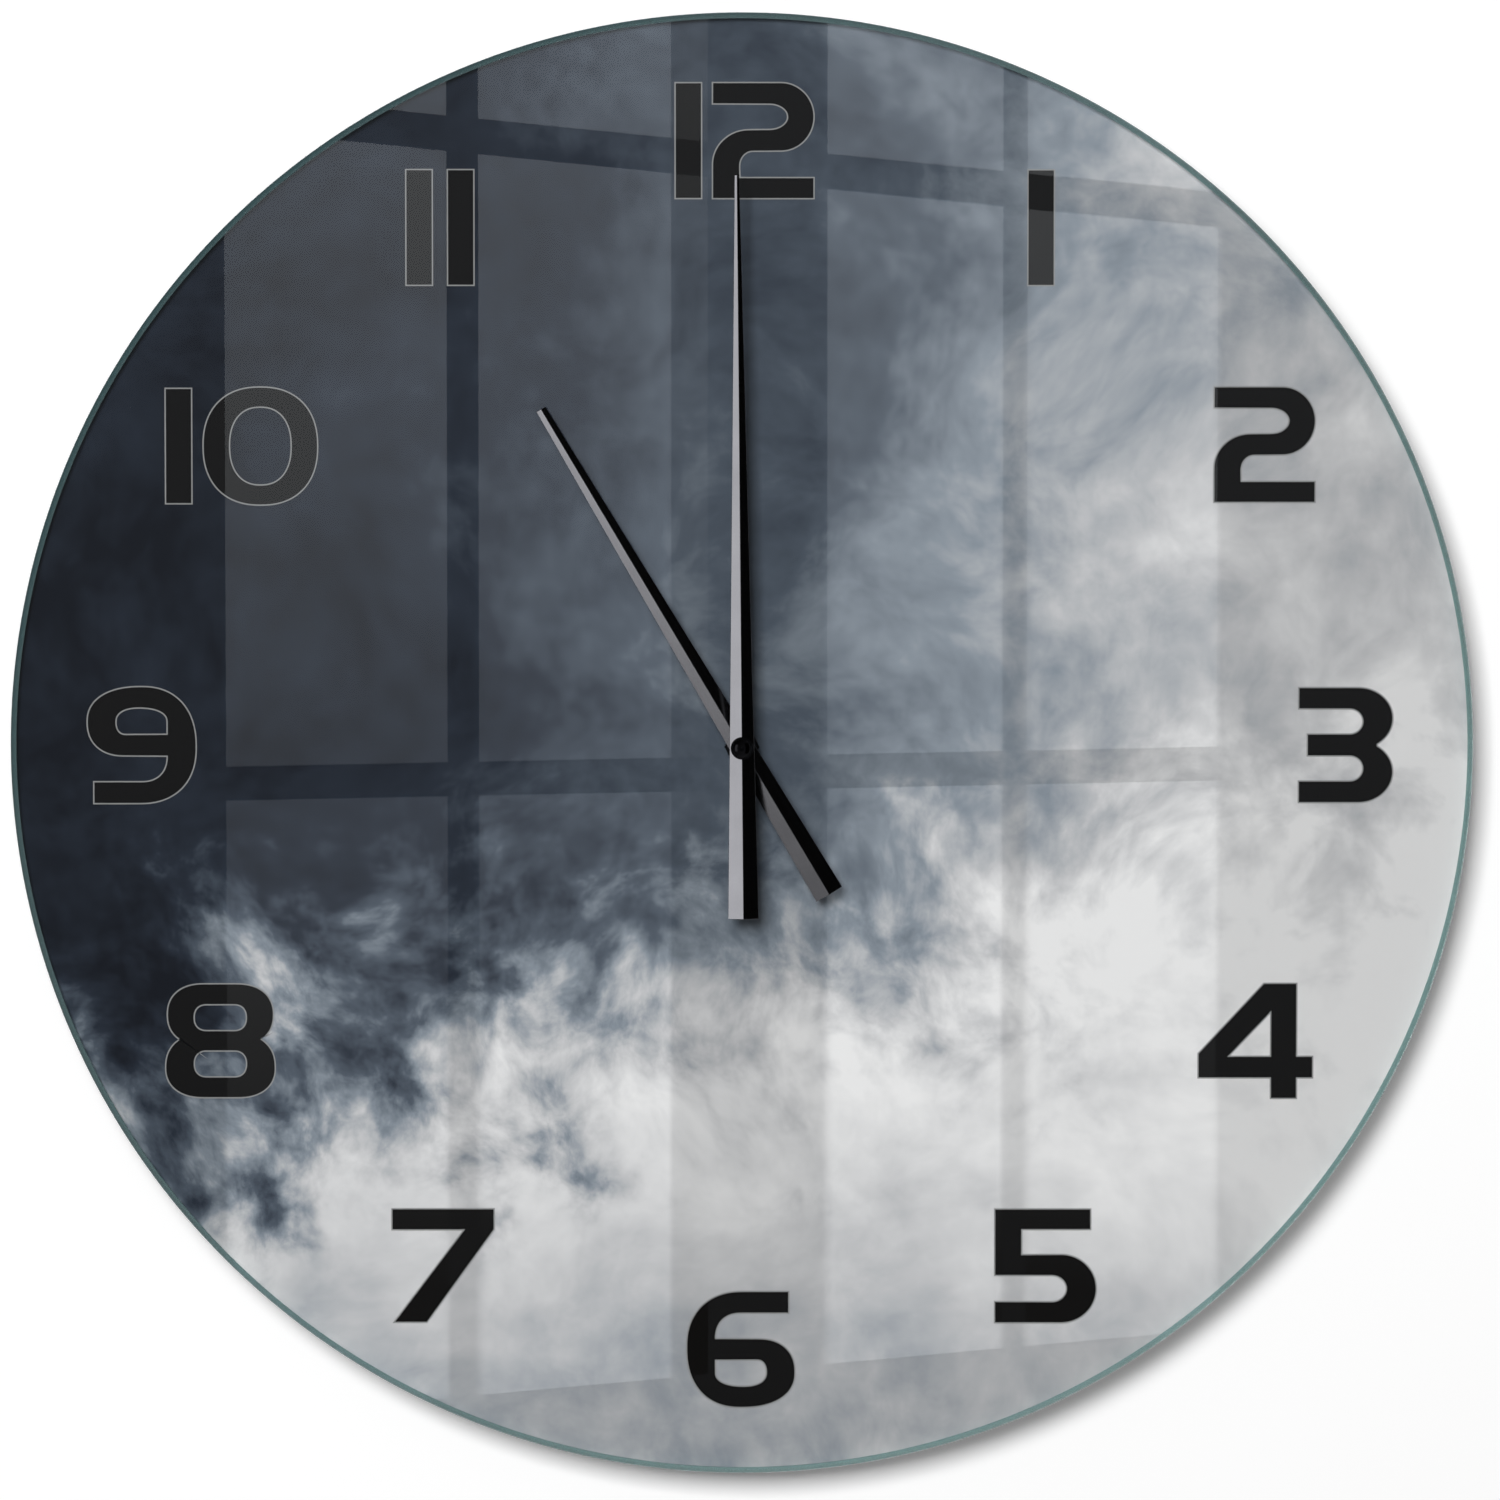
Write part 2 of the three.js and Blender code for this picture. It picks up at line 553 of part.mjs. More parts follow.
// Domed nut with a flange that clamps the minute hand
function capNut() {
  const { diameter, skirt, height, boreDepth } = CAP_NUT;
  const radius = diameter / 2;
  const flange = CAP_NUT_FLANGE.diameter / 2;
  const flangeFront = CAP_NUT_BACK + CAP_NUT_FLANGE.thickness;
  const bore = THREAD_RADIUS + PRESSED;
  const dome = [];
  for (let i = 0; i < DOME_STEPS; i += 1) {
    const angle = (i / DOME_STEPS) * (Math.PI / 2);
    dome.push([radius * Math.cos(angle), CAP_NUT_BACK + skirt + (height - skirt) * Math.sin(angle)]);
  }
  const profile = [
    [bore, CAP_NUT_BACK], [flange, CAP_NUT_BACK], [flange, flangeFront], [radius, flangeFront],
    ...dome, [0, CAP_NUT_BACK + height],
    [0, CAP_NUT_BACK + boreDepth], [bore, CAP_NUT_BACK + boreDepth], [bore, CAP_NUT_BACK],
  ];
  return piece('cap_nut', turned(profile), 'blackNickel');
}

// Fixing stack: bushing, gasket, washers and nut
function threadedBushing() {
  const bore = BUSHING_BORE / 2;
  const body = BUSHING_DIAMETER / 2;
  const flange = BUSHING_FLANGE.diameter / 2;
  const flangeFront = CASE_FLOOR + BUSHING_FLANGE.thickness;
  const tube = turned([
    [bore, CASE_FLOOR], [flange, CASE_FLOOR], [flange, flangeFront], [body, flangeFront],
    [body, BUSHING_FRONT], [bore, BUSHING_FRONT], [bore, CASE_FLOOR],
  ]);
  return piece('threaded_bushing', tube, 'brass');
}

function fixingNut() {
  const corner = NUT_ACROSS_FLATS / 2 / Math.cos(Math.PI / 6);
  const hexagon = rod(corner, WASHER_FRONT, NUT_FRONT, [0, 0], 6);
  const crowned = turned([
    [0, WASHER_FRONT], [corner, WASHER_FRONT], [corner, NUT_FRONT - NUT_CHAMFER],
    [NUT_ACROSS_FLATS / 2 - NUT_CHAMFER, NUT_FRONT], [0, NUT_FRONT],
  ]);
  const bore = rod(
    BUSHING_DIAMETER / 2 + RUNNING, WASHER_FRONT - OVERCUT, NUT_FRONT + OVERCUT, [0, 0], ROUND_SEGMENTS);
  return piece('fixing_nut', cutBy(shared(hexagon, crowned), bore), 'blackNickel');
}

function fixingStack() {
  const bore = BUSHING_DIAMETER / 2 + SLIP;
  const fibre = ring(FIBRE_WASHER.diameter / 2, bore, GLASS_FRONT, FIBRE_FRONT);
  const metal = ring(METAL_WASHER.diameter / 2, bore, FIBRE_FRONT, WASHER_FRONT);
  const gasket = ring(GASKET_DIAMETER / 2, bore, HANGER_FRONT, FILM_BACK);
  return [
    threadedBushing(),
    piece('rubber_gasket', gasket, 'rubber'),
    piece('fibre_washer', fibre, 'vulcanFibre'),
    piece('metal_washer', metal, 'blackNickel'),
    fixingNut(),
  ];
}

// Side view of the hanger strip: u is the height y and v is the distance from the wall
function hangerProfile() {
  const inner = HANGER_BEND;
  const outer = HANGER_BEND + HANGER_THICKNESS;
  const step = HANGER_STEP_Y;
  const profile = new THREE.Shape();
  profile.moveTo(-HANGER_FOOT, CASE_FRONT);
  profile.absarc(step - inner, CASE_FRONT - inner, inner, Math.PI / 2, 0, true);
  profile.absarc(step + outer, TAB_BACK + outer, outer, Math.PI, 1.5 * Math.PI, false);
  profile.lineTo(TAB_TOP, TAB_BACK);
  profile.lineTo(TAB_TOP, TAB_FRONT);
  profile.absarc(step + outer, TAB_BACK + outer, inner, 1.5 * Math.PI, Math.PI, true);
  profile.absarc(step - inner, CASE_FRONT - inner, outer, 0, Math.PI / 2, false);
  profile.lineTo(-HANGER_FOOT, HANGER_FRONT);
  return profile;
}

// Keyhole: a round entry for the screw's head and a slot with a flat seat above it
function keyholeOutline() {
  const half = SLOT_WIDTH / 2;
  const entry = ENTRY_DIAMETER / 2;
  const lean = Math.asin(half / entry);
  const outline = new THREE.Shape();
  outline.absarc(0, ENTRY_Y, entry, Math.PI / 2 + lean, 2.5 * Math.PI - lean, false);
  outline.absarc(half - SLOT_CORNER, SEAT_Y - SLOT_CORNER, SLOT_CORNER, 0, Math.PI / 2, false);
  outline.absarc(-half + SLOT_CORNER, SEAT_Y - SLOT_CORNER, SLOT_CORNER, Math.PI / 2, Math.PI, false);
  return outline;
}

function hangerPlate() {
  const settings = { depth: HANGER_WIDTH, bevelEnabled: false, curveSegments: CORNER_STEPS };
  const frontways = new THREE.Matrix4().makeBasis(
    new THREE.Vector3(0, 1, 0), new THREE.Vector3(0, 0, 1), new THREE.Vector3(1, 0, 0));
  const strip = new THREE.ExtrudeGeometry(hangerProfile(), settings)
    .translate(0, 0, -HANGER_WIDTH / 2)
    .applyMatrix4(frontways);
  const half = HANGER_WIDTH / 2;
  const outline = plate(
    roundedOutline([-half, half], [-HANGER_FOOT, TAB_TOP], HANGER_CORNER), 0, HANGER_FRONT + OVERCUT);
  const shaftHole = rod(
    BUSHING_DIAMETER / 2 + SLIP, CASE_FRONT - OVERCUT, HANGER_FRONT + OVERCUT, [0, 0], ROUND_SEGMENTS);
  const keyhole = plate(keyholeOutline(), TAB_BACK - OVERCUT, TAB_FRONT + OVERCUT);
  return piece('hanger_plate', cutBy(shared(strip, outline), shaftHole, keyhole), 'zincSteel');
}

// Front case: a tray with the cell's trough below and posts and pivot bosses for the works above
function frontCase() {
  const sides = [-CASE_HALF_WIDTH, CASE_HALF_WIDTH];
  const inside = [-INNER_HALF_WIDTH, INNER_HALF_WIDTH];
  const tray = plate(roundedOutline(sides, [CASE_BOTTOM, CASE_TOP], CASE_CORNER), CASE_RIM, CASE_FRONT);
  const corner = CASE_CORNER - CASE_WALL;
  const works = plate(
    roundedOutline(inside, [PARTITION_TOP, INNER_TOP], corner, 0), CASE_RIM - OVERCUT, CASE_FLOOR);
  const trough = plate(
    roundedOutline(inside, [TROUGH_BOTTOM, TROUGH_TOP], CELL_SIDE_GAP), CASE_RIM - OVERCUT, CASE_FLOOR);
  const notches = [-1, 1].map((side) => block(
    ordered(side * INNER_HALF_WIDTH, side * (INNER_HALF_WIDTH - 2 * CONTACT_SHEET)),
    [TROUGH_TOP - OVERCUT, PARTITION_TOP + OVERCUT],
    [CASE_RIM - OVERCUT, CONTACT_TAB_FRONT + SLIP]));
  const flangeSeat = rod(
    BUSHING_FLANGE.diameter / 2 + PRESSED, CASE_FLOOR - OVERCUT, CASE_FLOOR + BUSHING_FLANGE.thickness,
    [0, 0], ROUND_SEGMENTS);
  const shaftHole = rod(
    BUSHING_DIAMETER / 2 + PRESSED, CASE_FLOOR, CASE_FRONT + OVERCUT, [0, 0], ROUND_SEGMENTS);
  const shell = cutBy(tray, works, trough, ...notches, flangeSeat, shaftHole);

  const root = CASE_FLOOR + CASE_WALL / 2;
  const stud = rod(ARBOR_RADIUS, LAYER.motion.back, root, AXIS.motion.toArray());
  const platePosts = PLATE_POSTS.map((place) => rod(PLATE_POST_RADIUS, PLATE_FRONT, root, place));
  const statorPosts = [-LEG_X, LEG_X].map(
    (x) => rod(STATOR_POST_RADIUS, STATOR_FRONT, root, [x, STATOR_POST_Y]));
  const boardPosts = [BOARD_BOTTOM + BOARD_POST_INSET, BOARD_TOP - BOARD_POST_INSET].map(
    (y) => rod(BOARD_POST_RADIUS, BOARD_FRONT, root, [BOARD_X, y]));
  const bossBacks = [
    [AXIS.third, LAYER.minute.front], [AXIS.intermediate, LAYER.minute.front],
    [AXIS.rotor, MAGNET_BACK + MAGNET_LENGTH],
  ];
  const bosses = bossBacks.map(
    ([axis, back]) => rod(PIVOT_BOSS_RADIUS, back + LAYER_GAP, root, axis.toArray()));
  const bores = bossBacks.map(([axis, back]) => rod(
    ARBOR_RADIUS + RUNNING, back, back + LAYER_GAP + PIVOT_DEPTH + SLIP, axis.toArray()));
  const fitted = joined(shell, stud, ...platePosts, ...statorPosts, ...boardPosts, ...bosses);
  return piece('front_case', cutBy(fitted, ...bores), 'blackPlastic');
}

// Rear cover over the works, with a round opening for the setting knob
function rearCover() {
  const sides = [-CASE_HALF_WIDTH, CASE_HALF_WIDTH];
  const outline = roundedOutline(sides, [TROUGH_TOP, CASE_TOP], CASE_CORNER, 0);
  const opening = rod(
    KNOB.radius + KNOB.gap, CASE_BACK - OVERCUT, CASE_RIM + OVERCUT, AXIS.knob.toArray(), ROUND_SEGMENTS);
  return piece('rear_cover', cutBy(plate(outline, CASE_BACK, CASE_RIM), opening), 'blackPlastic');
}

// Plate behind the wheels that holds their rear pivots
function trainPlate() {
  const outline = roundedOutline(
    [-PLATE_HALF_WIDTH, PLATE_HALF_WIDTH], [PLATE_BOTTOM, PLATE_TOP], PLATE_POST_RADIUS);
  const pivots = [AXIS.centre, AXIS.third, AXIS.intermediate, AXIS.rotor].map((axis) => rod(
    ARBOR_RADIUS + RUNNING, PLATE_BACK - OVERCUT, PLATE_FRONT + OVERCUT, axis.toArray()));
  const bearing = rod(
    KNOB.shaftRadius + RUNNING, PLATE_BACK - OVERCUT, PLATE_FRONT + OVERCUT, AXIS.knob.toArray());
  const sheet = cutBy(plate(outline, PLATE_BACK, PLATE_FRONT), ...pivots, bearing);
  return piece('train_plate', sheet, 'greyPlastic');
}

// Centre arbor: minute wheel and cannon pinion on the arbor that carries the minute hand
function minuteWheel() {
  const wheel = toothedDisc(TOOTHED.minuteWheel, 0, LAYER.minute);
  const pinion = toothedDisc(
    TOOTHED.cannonPinion, 0, { back: LAYER.minute.back, front: LAYER.motion.front });
  const arbor = rod(MINUTE_ARBOR_RADIUS, LAYER.minute.back, MINUTE_COLLET_BACK, [0, 0], ROUND_SEGMENTS);
  const flats = flatted(MINUTE_ARBOR_RADIUS, MINUTE_ARBOR_FLATS, LAYER.minute.back, CAP_NUT_BACK);
  flats.rotateZ(MINUTE_HAND_ANGLE);
  const thread = rod(
    THREAD_RADIUS, LAYER.minute.back, CAP_NUT_BACK + CAP_NUT.boreDepth - SLIP, [0, 0], ROUND_SEGMENTS);
  const pivotHole = rod(ARBOR_RADIUS + RUNNING, LAYER.minute.back - OVERCUT, LAYER.motion.front);
  return piece('minute_wheel', cutBy(joined(wheel, pinion, arbor, flats, thread), pivotHole), 'brass');
}

// Hour wheel: its pipe runs in the bushing and carries the hour hand
function hourWheel() {
  const wheel = toothedDisc(TOOTHED.hourWheel, PHASE.hourWheel, LAYER.hour);
  const pipe = rod(HOUR_PIPE_RADIUS, LAYER.hour.back, HOUR_PIPE_FRONT, [0, 0], ROUND_SEGMENTS);
  const bore = rod(
    MINUTE_ARBOR_RADIUS + RUNNING, LAYER.hour.back - OVERCUT, HOUR_PIPE_FRONT + OVERCUT,
    [0, 0], ROUND_SEGMENTS);
  return piece('hour_wheel', cutBy(joined(wheel, pipe), bore), 'brass');
}

// Motion wheel and pinion on the stud of the front case
function motionWheel() {
  const wheel = toothedDisc(TOOTHED.motionWheel, PHASE.motionWheel, LAYER.motion);
  const pinion = toothedDisc(
    TOOTHED.motionPinion, 0, { back: LAYER.motion.back, front: LAYER.hour.front });
  const bore = rod(ARBOR_RADIUS + RUNNING, LAYER.motion.back - OVERCUT, LAYER.hour.front + OVERCUT);
  return onAxis(piece('motion_wheel', cutBy(joined(wheel, pinion), bore), 'whiteAcetal'), AXIS.motion);
}

// Wheel and pinion moulded on one arbor that runs from the train plate to its front pivot
function trainWheel(name, axis, wheel, wheelLayer, pinion, pinionPhase, pinionLayer, pivotFront) {
  const disc = toothedDisc(wheel, 0, wheelLayer);
  const leaves = toothedDisc(
    pinion, pinionPhase, { back: wheelLayer.back, front: pinionLayer.front });
  const arbor = rod(ARBOR_RADIUS, PLATE_BACK, pivotFront);
  return onAxis(piece(name, joined(disc, leaves, arbor), 'whiteAcetal'), axis);
}

function goingTrain() {
  const bossPivot = LAYER.minute.front + LAYER_GAP + PIVOT_DEPTH;
  return [
    trainWheel('third_wheel', AXIS.third, TOOTHED.thirdWheel, LAYER.third,
      TOOTHED.thirdPinion, PHASE.thirdPinion, LAYER.minute, bossPivot),
    trainWheel('seconds_wheel', AXIS.centre, TOOTHED.secondsWheel, LAYER.seconds,
      TOOTHED.secondsPinion, PHASE.secondsPinion, LAYER.third, LAYER.motion.front - SLIP),
    trainWheel('intermediate_wheel', AXIS.intermediate, TOOTHED.intermediateWheel, LAYER.intermediate,
      TOOTHED.intermediatePinion, PHASE.intermediatePinion, LAYER.seconds, bossPivot),
  ];
}

// Stepping motor: magnet rotor, stator, core, bobbin and winding
function rotor() {
  const magnetFront = MAGNET_BACK + MAGNET_LENGTH;
  const leaves = toothedDisc(TOOTHED.rotorPinion, PHASE.rotorPinion, LAYER.intermediate);
  const arbor = rod(ARBOR_RADIUS, PLATE_BACK, magnetFront + LAYER_GAP + PIVOT_DEPTH);
  const magnet = ring(MAGNET_RADIUS, ARBOR_RADIUS + PRESSED, MAGNET_BACK, magnetFront, SMALL_SEGMENTS);
  return [
    onAxis(piece('rotor_pinion', joined(leaves, arbor), 'whiteAcetal'), AXIS.rotor),
    onAxis(piece('rotor_magnet', magnet, 'magnet'), AXIS.rotor),
  ];
}

function stator() {
  const sheet = [STATOR_BACK, STATOR_FRONT];
  const bar = block([-STATOR_HALF_SPAN, STATOR_HALF_SPAN], [BAR_BOTTOM, BAR_BOTTOM + STATOR_BAR], sheet);
  const legs = [-LEG_X, LEG_X].map((x) => block(
    [x - STATOR_BAR / 2, x + STATOR_BAR / 2], [BAR_BOTTOM, COIL_Y + CORE_WIDTH / 2], sheet));
  const place = AXIS.rotor.toArray();
  const lobe = rod(STATOR_RADIUS, ...sheet, place, ROUND_SEGMENTS);
  const hole = rod(
    MAGNET_RADIUS + STATOR_GAP, STATOR_BACK - OVERCUT, STATOR_FRONT + OVERCUT, place, ROUND_SEGMENTS);
  return piece('stator', cutBy(joined(bar, ...legs, lobe), hole), 'siliconIron');
}

// Turned about the x axis at the coil's height: profile of [radius, x] points
function turnedAcross(profile, y, z, segments) {
  return turned(profile, segments).rotateY(Math.PI / 2).translate(0, y, z);
}

function coil() {
  const half = BOBBIN_LENGTH / 2;
  const tube = BOBBIN_TUBE_RADIUS;
  const inner = half - BOBBIN_FLANGE;
  const spool = turnedAcross([
    [0, -half], [BOBBIN_FLANGE_RADIUS, -half], [BOBBIN_FLANGE_RADIUS, -inner], [tube, -inner],
    [tube, inner], [BOBBIN_FLANGE_RADIUS, inner], [BOBBIN_FLANGE_RADIUS, half], [0, half],
  ], COIL_Y, CORE_Z, SMALL_SEGMENTS);
  const coreHole = block(
    [-half - OVERCUT, half + OVERCUT],
    [COIL_Y - CORE_WIDTH / 2 - RUNNING, COIL_Y + CORE_WIDTH / 2 + RUNNING],
    [STATOR_FRONT - RUNNING, CORE_FRONT + RUNNING]);
  const core = block(
    [-STATOR_HALF_SPAN, STATOR_HALF_SPAN], [COIL_Y - CORE_WIDTH / 2, COIL_Y + CORE_WIDTH / 2],
    [STATOR_FRONT, CORE_FRONT]);
  const reach = inner - PRESSED;
  const winding = turnedAcross([
    [tube + PRESSED, -reach], [WINDING_RADIUS, -reach], [WINDING_RADIUS, reach],
    [tube + PRESSED, reach], [tube + PRESSED, -reach],
  ], COIL_Y, CORE_Z, SMALL_SEGMENTS);
  return [
    piece('coil_bobbin', cutBy(spool, coreHole), 'greyPlastic'),
    piece('coil_winding', winding, 'copper'),
    piece('coil_core', core, 'siliconIron'),
  ];
}

// Circuit board with its chip under a drop of resin, and the quartz crystal's can
function circuit() {
  const board = block(
    [BOARD_LEFT, BOARD_LEFT + BOARD.width], [BOARD_BOTTOM, BOARD_TOP], [BOARD_BACK, BOARD_FRONT]);
  const middle = (BOARD_BOTTOM + BOARD_TOP) / 2;
  const resin = turned([
    [0, BOARD_BACK + SLIP], [CHIP.radius, BOARD_BACK + SLIP], [CHIP.radius, BOARD_BACK],
    [CHIP.radius / 2, BOARD_BACK - CHIP.height], [0, BOARD_BACK - CHIP.height],
  ], SMALL_SEGMENTS).translate(BOARD_X, middle - CRYSTAL.length, 0);
  const can = new THREE.CylinderGeometry(CRYSTAL.radius, CRYSTAL.radius, CRYSTAL.length, SMALL_SEGMENTS)
    .translate(BOARD_X, middle + CRYSTAL.length / 2, BOARD_BACK - CRYSTAL.radius - PRESSED);
  return [
    piece('circuit_board', joined(board, resin), 'circuitBoard'),
    piece('quartz_crystal', closed(can), 'springSteel'),
  ];
}

// Cell in its trough, with the plus nub to the right
function cell() {
  const { diameter, length, nubDiameter, nubLength, rounding } = CELL;
  const radius = diameter / 2;
  const nub = nubDiameter / 2;
  const left = -length / 2;
  const shoulder = length / 2 - nubLength;
  const can = turnedAcross([
    [0, left], [radius - rounding, left], [radius, left + rounding], [radius, shoulder - rounding],
    [radius - rounding, shoulder], [nub, shoulder], [nub, length / 2], [0, length / 2],
  ], CELL_Y, CELL_Z, ROUND_SEGMENTS);
  return piece('battery_cell', can, 'cellSleeve');
}

// Sheet contact at one end of the cell: side is -1 at the left and 1 at the right
function contactPlate(side) {
  const wall = side * INNER_HALF_WIDTH;
  const face = wall - side * CONTACT_SHEET;
  const across = ordered(wall, face);
  const half = CELL.diameter / 2 - CELL_SIDE_GAP;
  const leaf = block(across, [CELL_Y - half, CELL_Y + half], [CELL_Z - half, CELL_Z + half]);
  const tab = block(
    across, [CELL_Y, PARTITION_TOP + CONTACT_SHEET], [CELL_Z - CONTACT_TAB_WIDTH / 2, CONTACT_TAB_FRONT]);
  const press = CONTACT_SPACE - CONTACT_SHEET - FLOOR_GAP;
  const { tipRadius: tip, rootRadius: root } = CONTACT_DIMPLE;
  const dimple = new THREE.CylinderGeometry(tip, root, press + CONTACT_SHEET / 2, SMALL_SEGMENTS)
    .rotateZ((side * Math.PI) / 2)
    .translate(face - side * (press / 2 - CONTACT_SHEET / 4), CELL_Y, CELL_Z);
  return joined(leaf, tab, dimple);
}

function contacts() {
  const stripLeft = BOARD_LEFT + BOARD.width / 2;
  const stripRight = INNER_HALF_WIDTH;
  const rail = [PARTITION_TOP, PARTITION_TOP + CONTACT_SHEET];
  const railBack = CASE_RIM + STRIP_GAP;
  const strip = block([stripLeft, stripRight], rail, [railBack, PLATE_BACK - STRIP_GAP]);
  const finger = block(
    [stripLeft, BOARD_LEFT + BOARD.width], rail, [railBack, BOARD_FRONT]);
  const link = block(
    [stripRight - CONTACT_SHEET, stripRight], rail, [railBack, CONTACT_TAB_FRONT]);
  return [
    piece('contact_negative', contactPlate(-1), 'springSteel'),
    piece('contact_positive', joined(contactPlate(1), strip, finger, link), 'springSteel'),
  ];
}

// Setting knob: a grip behind the cover on a shaft whose pinion drives the motion wheel
function settingKnob() {
  const back = CASE_BACK + KNOB.recess;
  const grip = { teeth: KNOB.grips, module: KNOB.radius / (KNOB.grips / 2 + ADDENDUM) };
  const head = toothedDisc(grip, 0, { back, front: back + KNOB.thickness });
  const shaft = rod(KNOB.shaftRadius, back, LAYER.motion.front);
  const pinion = toothedDisc(TOOTHED.knobPinion, PHASE.knobPinion, LAYER.motion);
  return onAxis(piece('setting_knob', joined(head, shaft, pinion), 'whiteAcetal'), AXIS.knob);
}

// Assembly, still as drawn from the front
const drawn = new THREE.Group();
drawn.add(glassDisc(), printFilm(), ...spacers());
drawn.add(hangerPlate(), ...fixingStack());
drawn.add(frontCase(), rearCover(), trainPlate());
drawn.add(cell(), ...contacts(), ...circuit());
drawn.add(stator(), ...coil(), ...rotor());
drawn.add(minuteWheel(), hourWheel(), motionWheel(), ...goingTrain(), settingKnob());
drawn.add(hand('hour_hand', HOUR_HAND, HOUR_EDGE, HOUR_HAND_ANGLE), hourCollet());
drawn.add(hand('minute_hand', MINUTE_HAND, MINUTE_EDGE, MINUTE_HAND_ANGLE), minuteCollet(), capNut());

// Stood up: y becomes +Z, the front faces -Y, and the slot's seat is the origin
drawn.rotation.x = Math.PI / 2;
drawn.position.set(0, (TAB_BACK + TAB_FRONT) / 2, -SEAT_Y);
const clock = new THREE.Group();
clock.add(drawn);

export default clock;
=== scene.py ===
"""Looks, stage, lights and camera of a 600 mm glass wall clock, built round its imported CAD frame.

Sizes are in millimetres, in the frame's axes: x runs to the right, y runs from the viewer to the
wall and z runs up. They are turned to metres where a mesh, a lamp or the camera is made.
"""

import logging
import math
from dataclasses import dataclass
from enum import Enum
from typing import Callable, Iterable, Sequence

import bmesh
import bpy
from mathutils import Matrix, Vector
from mathutils.geometry import tessellate_polygon


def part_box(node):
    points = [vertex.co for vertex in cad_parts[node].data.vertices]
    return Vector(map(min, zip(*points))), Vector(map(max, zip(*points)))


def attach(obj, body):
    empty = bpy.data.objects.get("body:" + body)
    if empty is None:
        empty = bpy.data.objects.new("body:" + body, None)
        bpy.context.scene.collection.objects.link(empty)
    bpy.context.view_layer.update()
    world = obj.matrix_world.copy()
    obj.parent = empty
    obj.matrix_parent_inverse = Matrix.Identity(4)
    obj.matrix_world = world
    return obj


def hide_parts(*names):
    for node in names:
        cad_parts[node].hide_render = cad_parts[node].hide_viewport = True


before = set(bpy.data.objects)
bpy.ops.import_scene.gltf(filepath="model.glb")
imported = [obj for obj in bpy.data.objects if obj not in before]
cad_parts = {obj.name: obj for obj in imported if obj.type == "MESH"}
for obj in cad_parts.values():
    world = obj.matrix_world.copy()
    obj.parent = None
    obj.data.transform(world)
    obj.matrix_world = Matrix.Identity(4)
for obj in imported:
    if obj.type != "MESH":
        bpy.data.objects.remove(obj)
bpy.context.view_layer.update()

log = logging.getLogger("wall_clock")

MM = 0.001
# Radius in millimetres below which a turned point lies on its axis, distance in metres at which
# corners are joined, and angle in degrees below which two faces are one
ON_AXIS = 1e-6
JOINED = 1e-7
FLAT = 0.5

Point = tuple[float, float]
Profile = Sequence[Point]
Contour = Sequence[tuple[float, ...]]
Corners = Sequence[Sequence[float]]
Edge = tuple[Point, Point]
Tree = bpy.types.NodeTree
Socket = bpy.types.NodeSocket
Values = dict[str | int, object]
Links = dict[str | int, Socket]
Inputs = tuple[Values, Links]
Patterns = dict[str, Socket]
Weights = tuple[tuple[str, float], ...]


class Body(Enum):
    """Bodies of the frame that pieces made here ride on."""

    DIAL = "dial"
    MINUTE_HAND = "minute_hand"
    HOUR_HAND = "hour_hand"
    SETTING_KNOB = "setting_knob"


class Axis(Enum):
    """Axis that a profile is turned about."""

    ALONG_X = "x"
    ALONG_Y = "y"


class Grain(Enum):
    """Direction of the marks that a tool leaves in metal."""

    TURNED = "rings round the axis"
    ROLLED = "long streaks up the sheet"
    BLASTED = "even and without direction"


# ---- nodes and colours


def linear(colour: str) -> tuple[float, float, float, float]:
    """Turn a colour into the linear values that shaders take.

    Args:
        colour: sRGB hex value, such as "#1a1a18".

    Returns:
        Linear red, green and blue, with an alpha of 1.
    """
    values = [int(colour[start : start + 2], 16) / 255 for start in (1, 3, 5)]
    red, green, blue = (
        value / 12.92 if value <= 0.04045 else ((value + 0.055) / 1.055) ** 2.4
        for value in values
    )
    return red, green, blue, 1.0


def add_node(
    tree: Tree,
    kind: str,
    values: Values | None = None,
    links: Links | None = None,
    **settings: object,
) -> bpy.types.Node:
    """Add one node with its settings and links.

    Args:
        tree: node tree that gets the node.
        kind: type of the node, such as "ShaderNodeBump".
        values: constants of its inputs, by name or place.
        links: outputs that feed its inputs, by name or place.
        **settings: attributes of the node itself.

    Returns:
        The new node.
    """
    node = tree.nodes.new(kind)
    for name, value in settings.items():
        setattr(node, name, value)
    for name, value in (values or {}).items():
        node.inputs[name].default_value = value
    for name, source in (links or {}).items():
        tree.links.new(source, node.inputs[name])
    return node


def set_stops(ramp: bpy.types.Node, stops: Sequence[tuple[float, Sequence[float]]]) -> None:
    """Give a colour ramp its stops.

    Args:
        ramp: node of the ramp.
        stops: place from 0 to 1 and linear colour of each stop, in rising order.
    """
    elements = ramp.color_ramp.elements
    while len(elements) < len(stops):
        elements.new(0.5)
    for element, (place, colour) in zip(elements, stops):
        element.position = place
        element.color = colour


def place_in_mm(
    tree: Tree,
    centre: Sequence[float] = (0.0, 0.0, 0.0),
    stretch: Sequence[float] = (1.0, 1.0, 1.0),
) -> Socket:
    """Give a material the place on the piece in millimetres.

    Args:
        tree: node tree of the material.
        centre: point that counts as nought, in millimetres.
        stretch: factor on each axis after the centre is taken off.

    Returns:
        Output socket with the place.
    """
    coordinates = add_node(tree, "ShaderNodeTexCoord")
    mapping = add_node(
        tree,
        "ShaderNodeMapping",
        {"Location": [-c * s for c, s in zip(centre, stretch)], "Scale": [s / MM for s in stretch]},
        {"Vector": coordinates.outputs["Object"]},
    )
    return mapping.outputs["Vector"]


